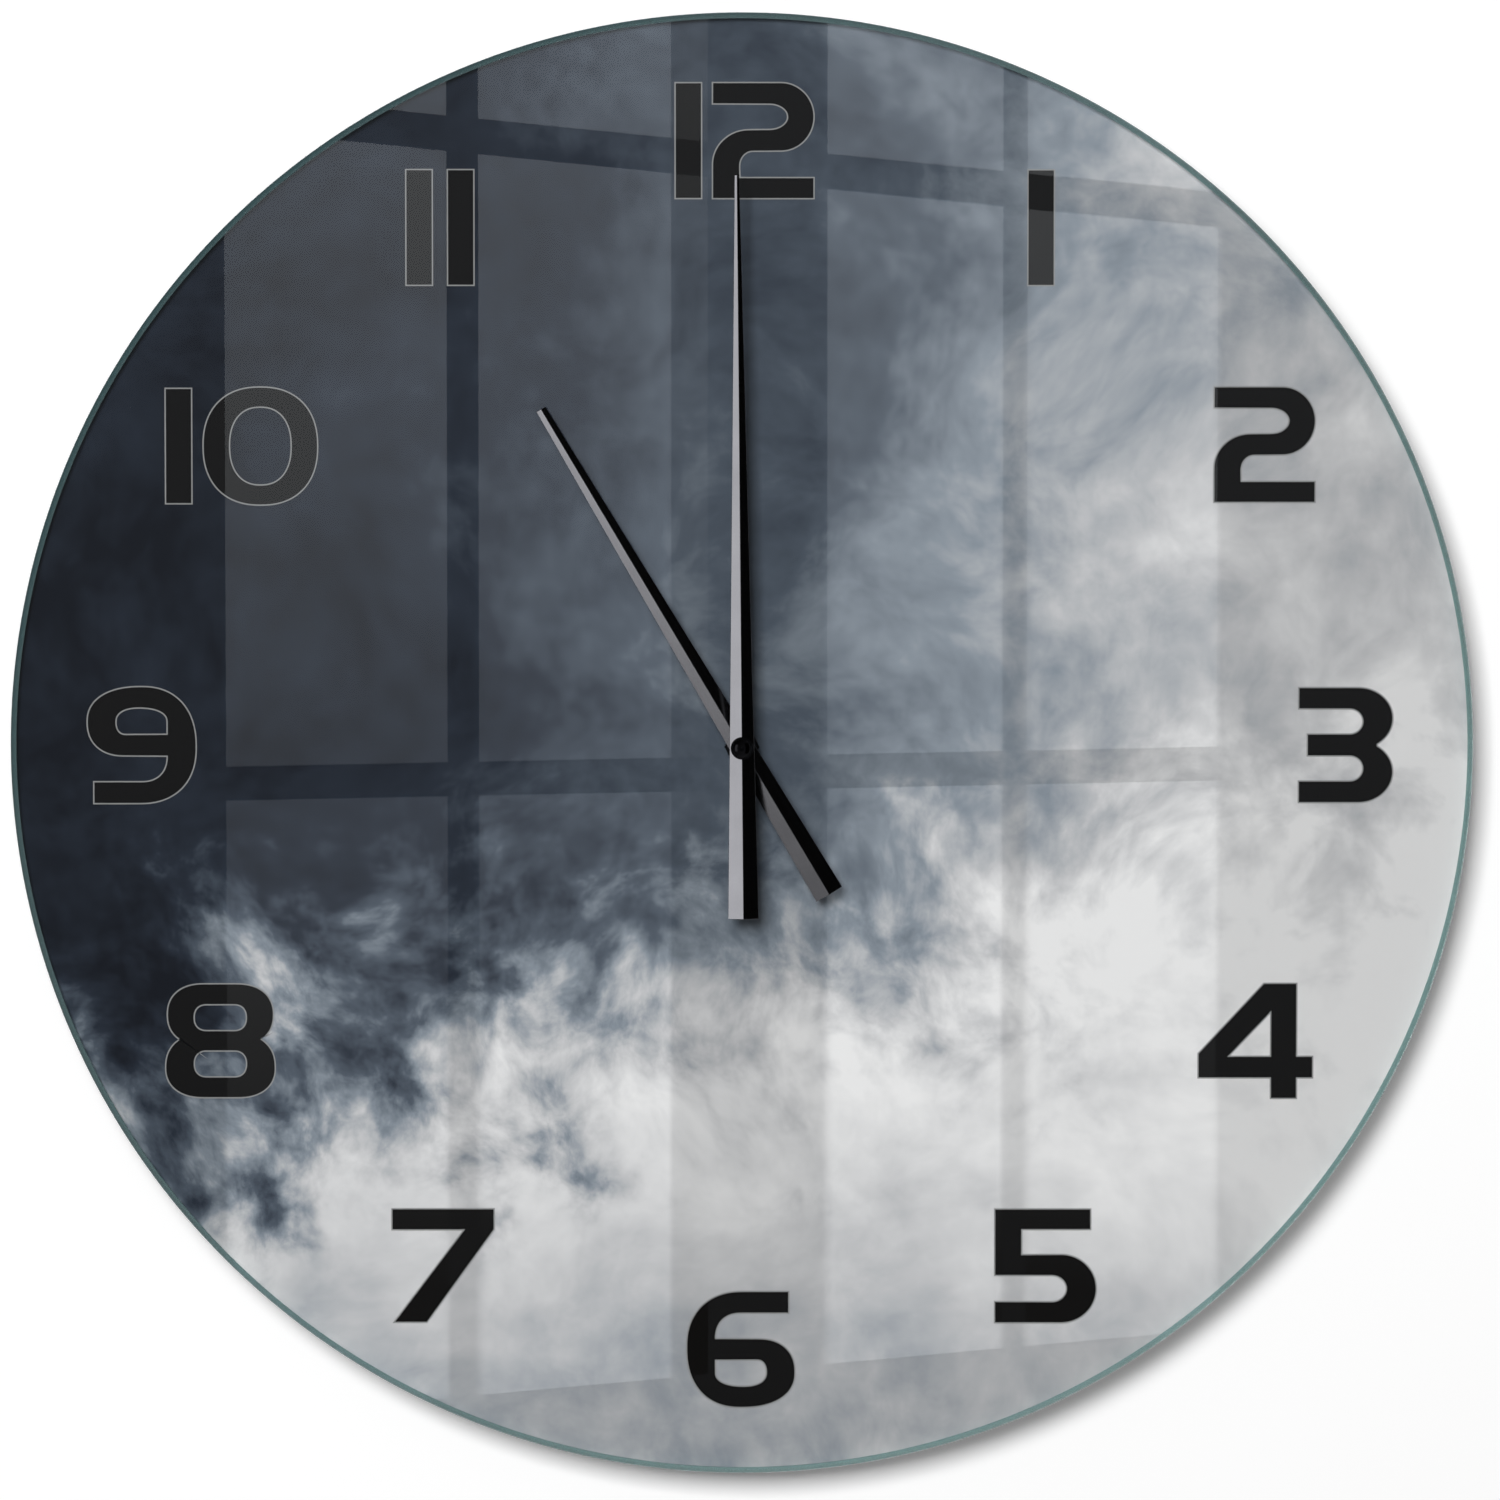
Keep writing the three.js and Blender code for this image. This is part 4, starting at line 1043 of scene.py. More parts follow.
class Shape:
    """A mesh in the making, fed with millimetres."""

    def __init__(self) -> None:
        """Start with nothing."""
        self.mesh = bmesh.new()

    def face(self, corners: Iterable[bmesh.types.BMVert], finish: int = 0) -> None:
        """Add a face, leaving out corners that coincide and faces that collapse.

        Args:
            corners: its corners in order.
            finish: place of its finish.
        """
        kept = list(dict.fromkeys(corners))
        if len(kept) > 2:
            self.mesh.faces.new(kept).material_index = finish

    def turn(
        self,
        profile: Profile,
        centre: Point,
        steps: int = 96,
        closed: bool = True,
        axis: Axis = Axis.ALONG_Y,
        finish: Callable[[Point], int] = lambda middle: 0,
    ) -> "Shape":
        """Turn a profile about an axis.

        Args:
            profile: radius and place along the axis of each point.
            centre: x and z of an axis along y, or y and z of an axis along x.
            steps: number of steps round the axis.
            closed: whether the last point joins the first, as on a ring.
            axis: direction of the axis.
            finish: gives the finish's place from the middle of a stretch of the profile.

        Returns:
            The shape itself.
        """
        rings = []
        for radius, along in profile:
            ring = []
            for i in range(steps if radius > ON_AXIS else 1):
                angle = 2 * math.pi * i / steps
                a = centre[0] + radius * math.cos(angle)
                b = centre[1] + radius * math.sin(angle)
                place = (a, along, b) if axis is Axis.ALONG_Y else (along, a, b)
                ring.append(self.mesh.verts.new(Vector(place) * MM))
            rings.append(ring * (steps if len(ring) == 1 else 1))
        following = list(range(1, len(rings))) + ([0] if closed else [])
        for first, second in zip(range(len(rings)), following):
            middle = tuple((a + b) / 2 for a, b in zip(profile[first], profile[second]))
            near, far = rings[first], rings[second]
            for i in range(steps):
                j = (i + 1) % steps
                self.face((near[i], near[j], far[j], far[i]), finish(middle))
        return self

    def prism(
        self, outlines: Sequence[Profile], levels: Sequence[Point], finish: int = 0
    ) -> "Shape":
        """Solid between flat outlines that face the viewer.

        Args:
            outlines: the outer outline anticlockwise, then any holes clockwise, as x and z.
            levels: inset and y of each level, from one cap to the other.
            finish: place of the finish.

        Returns:
            The shape itself.
        """
        layers = []
        for inset, y in levels:
            loops = [grown(outline, -inset) for outline in outlines]
            layers.append(
                [[self.mesh.verts.new(Vector((x, y, z)) * MM) for x, z in loop] for loop in loops]
            )
        for near, far in zip(layers, layers[1:]):
            for a, b in zip(near, far):
                for i in range(len(a)):
                    j = (i + 1) % len(a)
                    self.face((a[i], a[j], b[j], b[i]), finish)
        for layer in (layers[0], layers[-1]):
            corners = [vertex for loop in layer for vertex in loop]
            flat = [[Vector((v.co.x, v.co.z, 0.0)) for v in loop] for loop in layer]
            for triangle in tessellate_polygon(flat):
                self.face([corners[i] for i in triangle], finish)
        return self

    def node(self, name: str, bevel: float = 0.0, limit: float = 30.0) -> "Shape":
        """Take a CAD node's form, with its hard edges eased.

        Args:
            name: name of the node.
            bevel: width of the eased edges.
            limit: angle in degrees from which an edge counts as hard.

        Returns:
            The shape itself.
        """
        self.mesh.from_mesh(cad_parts[name].data)
        bmesh.ops.remove_doubles(self.mesh, verts=self.mesh.verts, dist=JOINED)
        bmesh.ops.dissolve_limit(
            self.mesh, angle_limit=math.radians(FLAT), verts=self.mesh.verts, edges=self.mesh.edges
        )
        for each in self.mesh.faces:
            each.material_index = 0
        if bevel > 0:
            hard = [
                edge
                for edge in self.mesh.edges
                if edge.is_manifold and edge.calc_face_angle() > math.radians(limit)
            ]
            bmesh.ops.bevel(
                self.mesh,
                geom=hard,
                offset=bevel * MM,
                segments=2,
                profile=0.5,
                affect="EDGES",
                clamp_overlap=True,
            )
        return self

    def piece(
        self,
        name: str,
        body: Body,
        finishes: Sequence[Finish],
        slot: str,
        stands_for: Sequence[str] = (),
        smooth: float = 32.0,
    ) -> bpy.types.Object:
        """Finish the mesh and make it a piece of the clock.

        Args:
            name: the piece's name.
            body: the body that it rides on.
            finishes: its finishes, in the order that the faces count them.
            slot: the record's material slot; not used.
            stands_for: CAD nodes that it replaces.
            smooth: angle in degrees up to which edges are shaded smooth.

        Returns:
            The new object.
        """
        bmesh.ops.recalc_face_normals(self.mesh, faces=self.mesh.faces)
        data = bpy.data.meshes.new(name)
        self.mesh.to_mesh(data)
        self.mesh.free()
        data.polygons.foreach_set("use_smooth", [True] * len(data.polygons))
        data.set_sharp_from_angle(angle=math.radians(smooth))
        for finish in finishes:
            data.materials.append(finish.material())
        made = bpy.data.objects.new(name, data)
        bpy.context.scene.collection.objects.link(made)
        made.modifiers.new("even_shading", "WEIGHTED_NORMAL").keep_sharp = True
        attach(made, body.value)
        if stands_for:
            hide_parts(*stands_for)
        log.info("%s rides on %s, %d faces", name, body.value, len(data.polygons))
        return made


def dress(finish: Finish, *nodes: str) -> None:
    """Give CAD nodes a finish.

    Args:
        finish: the finish.
        *nodes: names of the nodes.
    """
    for name in nodes:
        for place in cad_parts[name].material_slots:
            place.material = finish.material()
        log.info("%s is dressed in %s", name, finish.name)


# ---- sub-assemblies


@dataclass
class Dial:
    """Glass pane with the print and the numerals bonded to its back."""

    edge_depth: float = 2.5
    edge_steps: int = 9
    film_margin: float = 0.5
    hole: float = 5.0
    steps: int = 384
    bonded: float = 0.01
    ink: float = 0.05
    print_depth: float = 0.15

    def __post_init__(self) -> None:
        """Read the pane's place from the frame."""
        seat = Seat.of("glass_disc")
        self.centre, self.rim = seat.centre, seat.radius
        self.front, self.back = seat.front, seat.back
        self.film_back = Seat.of("print_film").back

    def build_pane(self) -> None:
        """Make the pane: flat faces, and an edge ground and polished to a rounded form."""
        inner = self.rim - self.edge_depth
        half = (self.back - self.front) / 2
        edge = sweep((inner, self.back - half), (self.edge_depth, half), 90, -90, self.edge_steps)
        profile = [(self.hole, self.back), *edge, (self.hole, self.front)]
        pane = Shape().turn(
            profile,
            self.centre,
            self.steps,
            finish=lambda middle: int(middle[0] > inner or middle[0] <= self.hole),
        )
        pane.piece("glass_pane", Body.DIAL, [FLOAT_GLASS, GLASS_EDGE], "glass", ["glass_disc"])

    def build_print(self) -> None:
        """Make the print's coloured layer and the white backing behind it."""
        edge = self.rim - self.film_margin
        face = self.back - self.bonded
        seam = self.back + self.print_depth
        mist = MistPrintFinish("uv_printed_mist", (self.centre[0], 0.0, self.centre[1]))
        layers = [
            ("mist_print", face, seam, mist),
            ("white_backing", seam, self.film_back, BACKING),
        ]
        for name, near, far, finish in layers:
            ring = [(self.hole, near), (edge, near), (edge, far), (self.hole, far)]
            layer = Shape().turn(ring, self.centre, self.steps)
            made = layer.piece(name, Body.DIAL, [finish], "printed_film", ["print_film"])
            # The narrow gap behind stays dark, as it is on a wall, whatever lights the back
            made.visible_diffuse = finish is not BACKING


@dataclass(frozen=True)
class Numeral:
    """One numeral of the dial: where its middle is and which glyphs it has."""

    hour: int
    x: float
    z: float
    glyphs: tuple[tuple[str, float], ...]


# Drawings of the glyphs about their own middles, in millimetres: the outline and then any holes.
# Two numbers are a point, as x and z. Six are a sweep: the ellipse's middle, its half widths, and
# its first and last angle in degrees
# fmt: off
GLYPHS: dict[str, list[Contour]] = {
    "zero": [[(0.0, 0.0, 23.2, 23.9, 360, 0)], [(0.0, 0.0, 12.9, 16.2, 360, 0)]],
    "one": [[(-5.15, 23.35), (5.15, 23.35), (5.15, -23.35), (-5.15, -23.35)]],
    "two": [
        [
            (-20.5, 23.4), (7.2, 9.7, 13.3, 13.7, 90, -90), (-4.3, -10.4, 5.6, 6.3, 90, 180),
            (-9.8, -15.3), (20.5, -15.3), (20.5, -23.4), (-20.5, -23.4),
            (-5.8, -9.7, 14.7, 13.9, 180, 90), (2.5, 9.7, 7.7, 5.4, -90, 90), (-20.5, 15.2),
        ]
    ],
    "three": [
        [
            (-19.1, 23.4), (5.2, 11.0, 13.9, 12.4, 90, -57.4),
            (5.2, -11.0, 13.9, 12.4, 57.4, -90), (-19.1, -23.4), (-19.1, -15.0),
            (1.6, -9.6, 5.7, 5.4, -90, 90), (-15.5, -4.2), (-15.5, 4.3),
            (1.6, 9.7, 5.7, 5.4, -90, 90), (-19.1, 15.1),
        ]
    ],
    "four": [
        [
            (3.5, 23.5), (16.7, 23.5), (16.7, -6.6), (23.3, -6.6), (23.3, -15.0),
            (16.7, -15.0), (16.7, -23.5), (6.5, -23.5), (6.5, -15.0), (-23.3, -15.0),
            (-23.3, -5.3),
        ],
        [(6.5, 12.5), (6.5, -6.6), (-11.6, -6.6)],
    ],
    "five": [
        [
            (-20.7, 23.3), (18.3, 23.3), (18.3, 15.3), (-10.1, 15.3), (-10.1, 4.4),
            (6.5, -9.4, 14.2, 13.9, 90, -90), (-20.7, -23.3), (-20.7, -15.0),
            (2.5, -9.4, 6.4, 5.7, -90, 90), (-20.7, -3.7),
        ]
    ],
    "six": [
        [
            (19.5, 23.8), (19.5, 15.3), (0.2, 4.3, 10.9, 11.0, 90, 180),
            (7.0, -9.5, 15.1, 13.7, 90, 0), (0.0, -9.5, 22.1, 14.3, 0, -90),
            (0.0, 0.7, 22.1, 24.5, -90, -180), (1.1, 0.7, 23.2, 23.1, 180, 90),
        ],
        [
            (-10.7, -4.2), (6.5, -9.5, 4.3, 5.4, 90, 0), (1.1, -9.5, 9.7, 6.0, 0, -90),
            (1.1, -9.5, 11.8, 6.0, -90, -180),
        ],
    ],
    "seven": [
        [
            (-20.8, 23.3), (20.8, 23.3), (20.8, 15.1), (-6.8, -23.2), (-19.8, -23.2),
            (9.1, 15.1), (-20.8, 15.1),
        ]
    ],
    "eight": [
        [
            (-6.7, 10.8, 14.8, 12.5, 127, 90), (6.5, 10.8, 15.1, 12.5, 90, -53),
            (6.9, -11.0, 15.4, 13.8, 55, 0), (6.9, -11.0, 15.4, 12.2, 0, -90),
            (-6.7, -11.0, 15.6, 12.2, -90, -180), (-6.7, -11.0, 15.6, 13.8, 180, 125),
            (-6.7, 10.8, 14.8, 12.5, -127, -180), (-6.7, 10.8, 14.8, 12.5, 180, 127),
        ],
        [(5.6, 9.6, 5.4, 5.6, 90, -90), (-5.6, 9.6, 5.4, 5.6, -90, -270)],
        [(5.6, -9.5, 5.4, 5.6, 90, -90), (-5.6, -9.5, 5.4, 5.6, -90, -270)],
    ],
}
# fmt: on
# The nine is the six, turned by half a turn
GLYPHS["nine"] = [
    [(-x, -z, *rest[:2], *(angle + 180 for angle in rest[2:])) for x, z, *rest in contour]
    for contour in GLYPHS["six"]
]


@dataclass
class Numerals:
    """Wide square-shouldered numerals with a thin grey line round them."""

    dial: Dial
    keyline: float = 0.56
    round_power: float = 2.3
    round_glyphs: tuple[str, ...] = ("zero", "six", "nine", "eight")
    closest: float = 0.02
    places: tuple[Numeral, ...] = (
        Numeral(12, 0.0, 247.8, (("one", -21.9), ("two", 8.7))),
        Numeral(1, 122.3, 212.3, (("one", 0.0),)),
        Numeral(2, 214.0, 123.7, (("two", 0.0),)),
        Numeral(3, 247.7, 0.5, (("three", 0.0),)),
        Numeral(4, 211.1, -121.3, (("four", 0.0),)),
        Numeral(5, 125.0, -214.3, (("five", 0.0),)),
        Numeral(6, -0.5, -248.9, (("six", 0.0),)),
        Numeral(7, -123.1, -214.2, (("seven", 0.0),)),
        Numeral(8, -214.5, -121.3, (("eight", 0.0),)),
        Numeral(9, -246.3, 0.5, (("nine", 0.0),)),
        Numeral(10, -204.0, 123.1, (("one", -26.7), ("zero", 6.8))),
        Numeral(11, -123.5, 212.4, (("one", -8.5), ("one", 8.5))),
    )

    def outline(self, contour: Contour, glyph: str, x: float, z: float) -> list[Point]:
        """Points of a contour on the dial.

        Args:
            contour: its points and sweeps.
            glyph: name of its glyph; the round ones fill their corners a little.
            x: x of the glyph's middle.
            z: z of the glyph's middle.

        Returns:
            The outline's points, without two that coincide.
        """
        power = self.round_power if glyph in self.round_glyphs else 2.0
        points = []
        for item in contour:
            if len(item) == 2:
                points.append(tuple(item))
            else:
                points.extend(sweep(item[:2], item[2:4], *item[4:], power=power))
        moved = [(x + a, z + b) for a, b in points]
        return [
            point
            for i, point in enumerate(moved)
            if math.dist(point, moved[i - 1]) > self.closest
        ]

    def build(self) -> None:
        """Make each numeral: its ink, and the grey line as rings round its contours."""
        face = self.dial.back - self.dial.ink
        foot = self.dial.back - self.dial.bonded / 2
        levels = [(0.0, foot), (0.0, face)]
        for numeral in self.places:
            shape = Shape()
            for glyph, shift in numeral.glyphs:
                x = self.dial.centre[0] + numeral.x + shift
                z = self.dial.centre[1] + numeral.z
                loops = [self.outline(contour, glyph, x, z) for contour in GLYPHS[glyph]]
                outlines = [loops[0][::-1], *loops[1:]]
                shape.prism(outlines, levels)
                for loop in outlines:
                    shape.prism([grown(loop, self.keyline), loop[::-1]], levels, finish=1)
            shape.piece(
                f"numeral_{numeral.hour}", Body.DIAL, [NUMERAL_INK, KEYLINE_INK], "printed_film"
            )


@dataclass
class Hands:
    """Folded hands with a ridge, on their collets, and the nut that holds them."""

    blade_ease: float = 0.12
    collet_ease: float = 0.1
    collet_limit: float = 40.0
    nut_radius: float = 3.9
    nut_flange: float = 0.6
    nut_skirt: float = 1.8
    nut_ease: float = 0.15
    nut_bore: float = 1.3
    nut_bore_depth: float = 2.9
    nut_steps: int = 72
    dome_steps: int = 18

    def build(self) -> None:
        """Make the hands, the collets and the cap nut."""
        for body in (Body.MINUTE_HAND, Body.HOUR_HAND):
            node = body.value
            Shape().node(node, self.blade_ease).piece(
                f"{node}_blade", body, [HAND_METAL], "hand_black", [node]
            )
        for node, body in (("minute_collet", Body.MINUTE_HAND), ("hour_collet", Body.HOUR_HAND)):
            Shape().node(node, self.collet_ease, self.collet_limit).piece(
                f"{node}_turned", body, [BRASS], "brass", [node]
            )
        self.build_cap_nut()

    def build_cap_nut(self) -> None:
        """Make the domed nut: a thin flange, a short skirt, a dome and a blind bore behind."""
        seat = Seat.of("cap_nut")
        back, flange, ease = seat.back, seat.radius, self.nut_ease
        step, skirt = back - self.nut_flange, back - self.nut_skirt
        bottom = back - self.nut_bore_depth
        angles = [math.radians(90 * i / self.dome_steps) for i in range(self.dome_steps)]
        dome = [
            (self.nut_radius * math.cos(a), skirt + (seat.front - skirt) * math.sin(a))
            for a in angles
        ]
        profile = [
            (self.nut_bore, back),
            (flange - ease, back),
            (flange, back - ease),
            (flange, step + ease),
            (flange - ease, step),
            (self.nut_radius, step),
            *dome,
            (0.0, seat.front),
            (0.0, bottom),
            (self.nut_bore, bottom),
            (self.nut_bore, back),
        ]
        Shape().turn(profile, seat.centre, self.nut_steps, closed=False).piece(
            "cap_nut_domed", Body.MINUTE_HAND, [TURNED_NICKEL], "black_nickel", ["cap_nut"]
        )


@dataclass
class FixingStack:
    """Bushing, nut, washers and gasket that clamp the movement to the pane."""

    ring_bore: float = 4.2
    gasket_ease: float = 0.3
    fibre_ease: float = 0.08
    washer_ease: float = 0.12
    bushing_bore: float = 2.65
    flange_depth: float = 0.75
    thread_radius: float = 4.0
    thread_pitch: float = 0.75
    thread_depth: float = 0.35
    nut_bore: float = 4.1
    nut_flats: float = 12.5
    nut_face: float = 0.94
    nut_chamfer: float = 30.0
    nut_smooth: float = 20.0
    nut_steps: int = 144
    thread_steps: int = 64

    def ring(self, name: str, node: str, ease: float, finish: Finish, slot: str) -> None:
        """Make a flat ring with eased rims in a node's place.

        Args:
            name: the piece's name.
            node: the CAD node that it stands for.
            ease: radius of its rims.
            finish: its finish.
            slot: the record's material slot.
        """
        seat = Seat.of(node)
        corners = [
            (self.ring_bore, seat.front, ease),
            (seat.radius, seat.front, ease),
            (seat.radius, seat.back, ease),
            (self.ring_bore, seat.back, ease),
        ]
        ring = Shape().turn(rounded(corners, steps=3), seat.centre)
        ring.piece(name, Body.DIAL, [finish], slot, [node])

    def build_bushing(self) -> None:
        """Make the bushing: a flange behind, and a thread cut as grooves at their pitch."""
        seat = Seat.of("threaded_bushing")
        shoulder = seat.back - self.flange_depth
        root = self.thread_radius - self.thread_depth
        turns = int((shoulder - seat.front) / self.thread_pitch)
        start = seat.front + turns * self.thread_pitch
        profile = [(self.bushing_bore, seat.back), (seat.radius, seat.back)]
        profile += [(seat.radius, shoulder), (root, shoulder)]
        for i in range(turns):
            y = start - i * self.thread_pitch
            profile += [(root, y), (self.thread_radius, y - self.thread_pitch / 2)]
        profile += [(root, seat.front), (self.bushing_bore, seat.front)]
        Shape().turn(profile, seat.centre, self.thread_steps).piece(
            "bushing_threaded", Body.DIAL, [BRASS], "brass", ["threaded_bushing"]
        )

    def build_nut(self) -> None:
        """Make the hexagon nut with the cone-shaped chamfer of a turned blank."""
        seat = Seat.of("fixing_nut")
        apothem = self.nut_flats / 2
        face = apothem * self.nut_face
        slope = math.tan(math.radians(self.nut_chamfer))
        shape = Shape()
        rows: list[list[bmesh.types.BMVert]] = []
        for i in range(self.nut_steps):
            angle = 2 * math.pi * i / self.nut_steps
            lean = (angle + math.pi / 6) % (math.pi / 3) - math.pi / 6
            reach = apothem / math.cos(lean)
            section = [
                (self.nut_bore, seat.back),
                (reach, seat.back),
                (reach, seat.front + (reach - face) * slope),
                (face, seat.front),
                (self.nut_bore, seat.front),
            ]
            row = []
            for radius, y in section:
                x = seat.centre[0] + radius * math.sin(angle)
                z = seat.centre[1] + radius * math.cos(angle)
                row.append(shape.mesh.verts.new(Vector((x, y, z)) * MM))
            rows.append(row)
        for near, far in zip(rows, rows[1:] + rows[:1]):
            for i in range(len(near)):
                j = (i + 1) % len(near)
                shape.face((near[i], near[j], far[j], far[i]))
        finishes, slot, stands_for = [STAMPED_NICKEL], "black_nickel", ["fixing_nut"]
        shape.piece("nut_hexagon", Body.DIAL, finishes, slot, stands_for, self.nut_smooth)

    def build(self) -> None:
        """Make every piece of the stack."""
        self.ring("gasket_ring", "rubber_gasket", self.gasket_ease, RUBBER, "rubber")
        self.ring("fibre_washer_ring", "fibre_washer", self.fibre_ease, FIBRE, "vulcan_fibre")
        self.ring(
            "metal_washer_ring", "metal_washer", self.washer_ease, STAMPED_NICKEL, "black_nickel"
        )
        self.build_bushing()
        self.build_nut()


@dataclass
class WallFixings:
    """Hanger plate and the rubber spacers that rest on the wall."""

    plate_ease: float = 0.15
    plate_limit: float = 50.0
    spacers: int = 4
    spacer_tip: float = 9.0
    spacer_ease: float = 0.8
    spacer_steps: int = 72

    def build(self) -> None:
        """Make the hanger plate and the spacers."""
        Shape().node("hanger_plate", self.plate_ease, self.plate_limit).piece(
            "hanger_plate_stamped", Body.DIAL, [ZINC], "zinc_steel", ["hanger_plate"]
        )
        ease = self.spacer_ease
        for number in range(1, self.spacers + 1):
            node = f"wall_spacer_{number}"
            seat = Seat.of(node)
            tip = sweep((self.spacer_tip - ease, seat.back - ease), (ease, ease), 0, 90, steps=6)
            profile = [(0.0, seat.front), (seat.radius, seat.front), *tip, (0.0, seat.back)]
            Shape().turn(profile, seat.centre, self.spacer_steps, closed=False).piece(
                f"spacer_moulded_{number}", Body.DIAL, [RUBBER], "rubber", [node]
            )


@dataclass
class Movement:
    """Quartz movement: its case and cover, the cell, the setting knob and the works inside."""

    case_ease: float = 0.3
    case_limit: float = 60.0
    cover_ease: float = 0.25
    cover_foot: float = 0.3
    cover_corner: float = 4.0
    # Radius, and height above the foot of the cover's rim, of the collar round the knob's opening
    collar: Profile = ((6.5, 0.0), (7.6, 0.0), (7.3, 0.6), (6.7, 0.6))
    # Depth below the cell's side, and distance from its end
    cell_minus: Profile = ((1.6, 0.0), (1.6, 0.15), (0.5, 0.15), (0.0, 0.6), (0.0, 36.0))
    cell_plus: Profile = ((0.0, 1.7), (0.7, 1.0), (1.9, 1.0), (2.0, 1.1))
    # Radius of the cell's nub, and distance from its tip
    cell_nub: Profile = ((2.7, 1.1), (2.7, 0.25), (2.45, 0.0))
    bare_depth: float = 1.0
    knob_ease: float = 0.2
    knob_limit: float = 50.0
    steps: int = 64

    def build_cover(self) -> None:
        """Make the rear cover with a raised collar round the opening for the knob."""
        low, high = box_mm("rear_cover")
        knob = Seat.of("setting_knob").centre
        corners = [
            (low.x, low.z, self.cover_foot),
            (high.x, low.z, self.cover_foot),
            (high.x, high.z, self.cover_corner),
            (low.x, high.z, self.cover_corner),
        ]
        radius = self.collar[0][0]
        opening = sweep(knob, (radius, radius), 360, 0, self.steps // 4)[:-1]
        foot = high.y - self.cover_ease
        levels = [(0.0, low.y), (0.0, foot), (self.cover_ease, high.y)]
        shape = Shape().prism([rounded(corners, steps=8), opening], levels)
        shape.turn([(radius, foot + rise) for radius, rise in self.collar], knob, self.steps)
        shape.piece("cover_moulded", Body.DIAL, [BLACK_ABS], "black_plastic", ["rear_cover"])

    def build_cell(self) -> None:
        """Make the cell: a sleeve with one pale band, its crimped ends and the raised nub."""
        low, high = box_mm("battery_cell")
        centre = ((low.y + high.y) / 2, (low.z + high.z) / 2)
        side = (high.z - low.z) / 2
        band = low.x + self.cell_minus[-1][1]
        profile = [
            (0.0, low.x),
            *((side - depth, low.x + along) for depth, along in self.cell_minus),
            *((side - depth, high.x - along) for depth, along in self.cell_plus),
            *((radius, high.x - along) for radius, along in self.cell_nub),
            (0.0, high.x),
        ]

        def finish(middle: Point) -> int:
            """Sleeve, band or bare end."""
            return 2 if middle[0] < side - self.bare_depth else int(middle[1] > band)

        Shape().turn(profile, centre, self.steps, False, Axis.ALONG_X, finish).piece(
            "cell_sleeved",
            Body.DIAL,
            [SLEEVE, SLEEVE_BAND, SPRING],
            "cell_sleeve",
            ["battery_cell"],
        )

    def build(self) -> None:
        """Make the pieces that show and dress the works that don't."""
        Shape().node("front_case", self.case_ease, self.case_limit).piece(
            "case_moulded", Body.DIAL, [BLACK_ABS], "black_plastic", ["front_case"]
        )
        self.build_cover()
        self.build_cell()
        Shape().node("setting_knob", self.knob_ease, self.knob_limit).piece(
            "knob_moulded", Body.SETTING_KNOB, [ACETAL], "acetal", ["setting_knob"]
        )
        dress(GREY_ABS, "train_plate", "coil_bobbin")
        dress(SPRING, "contact_negative", "contact_positive", "quartz_crystal")
        dress(BOARD, "circuit_board")
        dress(SILICON_IRON, "stator", "coil_core")
        dress(WINDING, "coil_winding")
        dress(MAGNET, "rotor_magnet")
        dress(BRASS, "minute_wheel", "hour_wheel")
        wheels = ("motion_wheel", "third_wheel", "seconds_wheel", "intermediate_wheel")
        dress(ACETAL, "rotor_pinion", *wheels)


# ---- stage, lights and camera


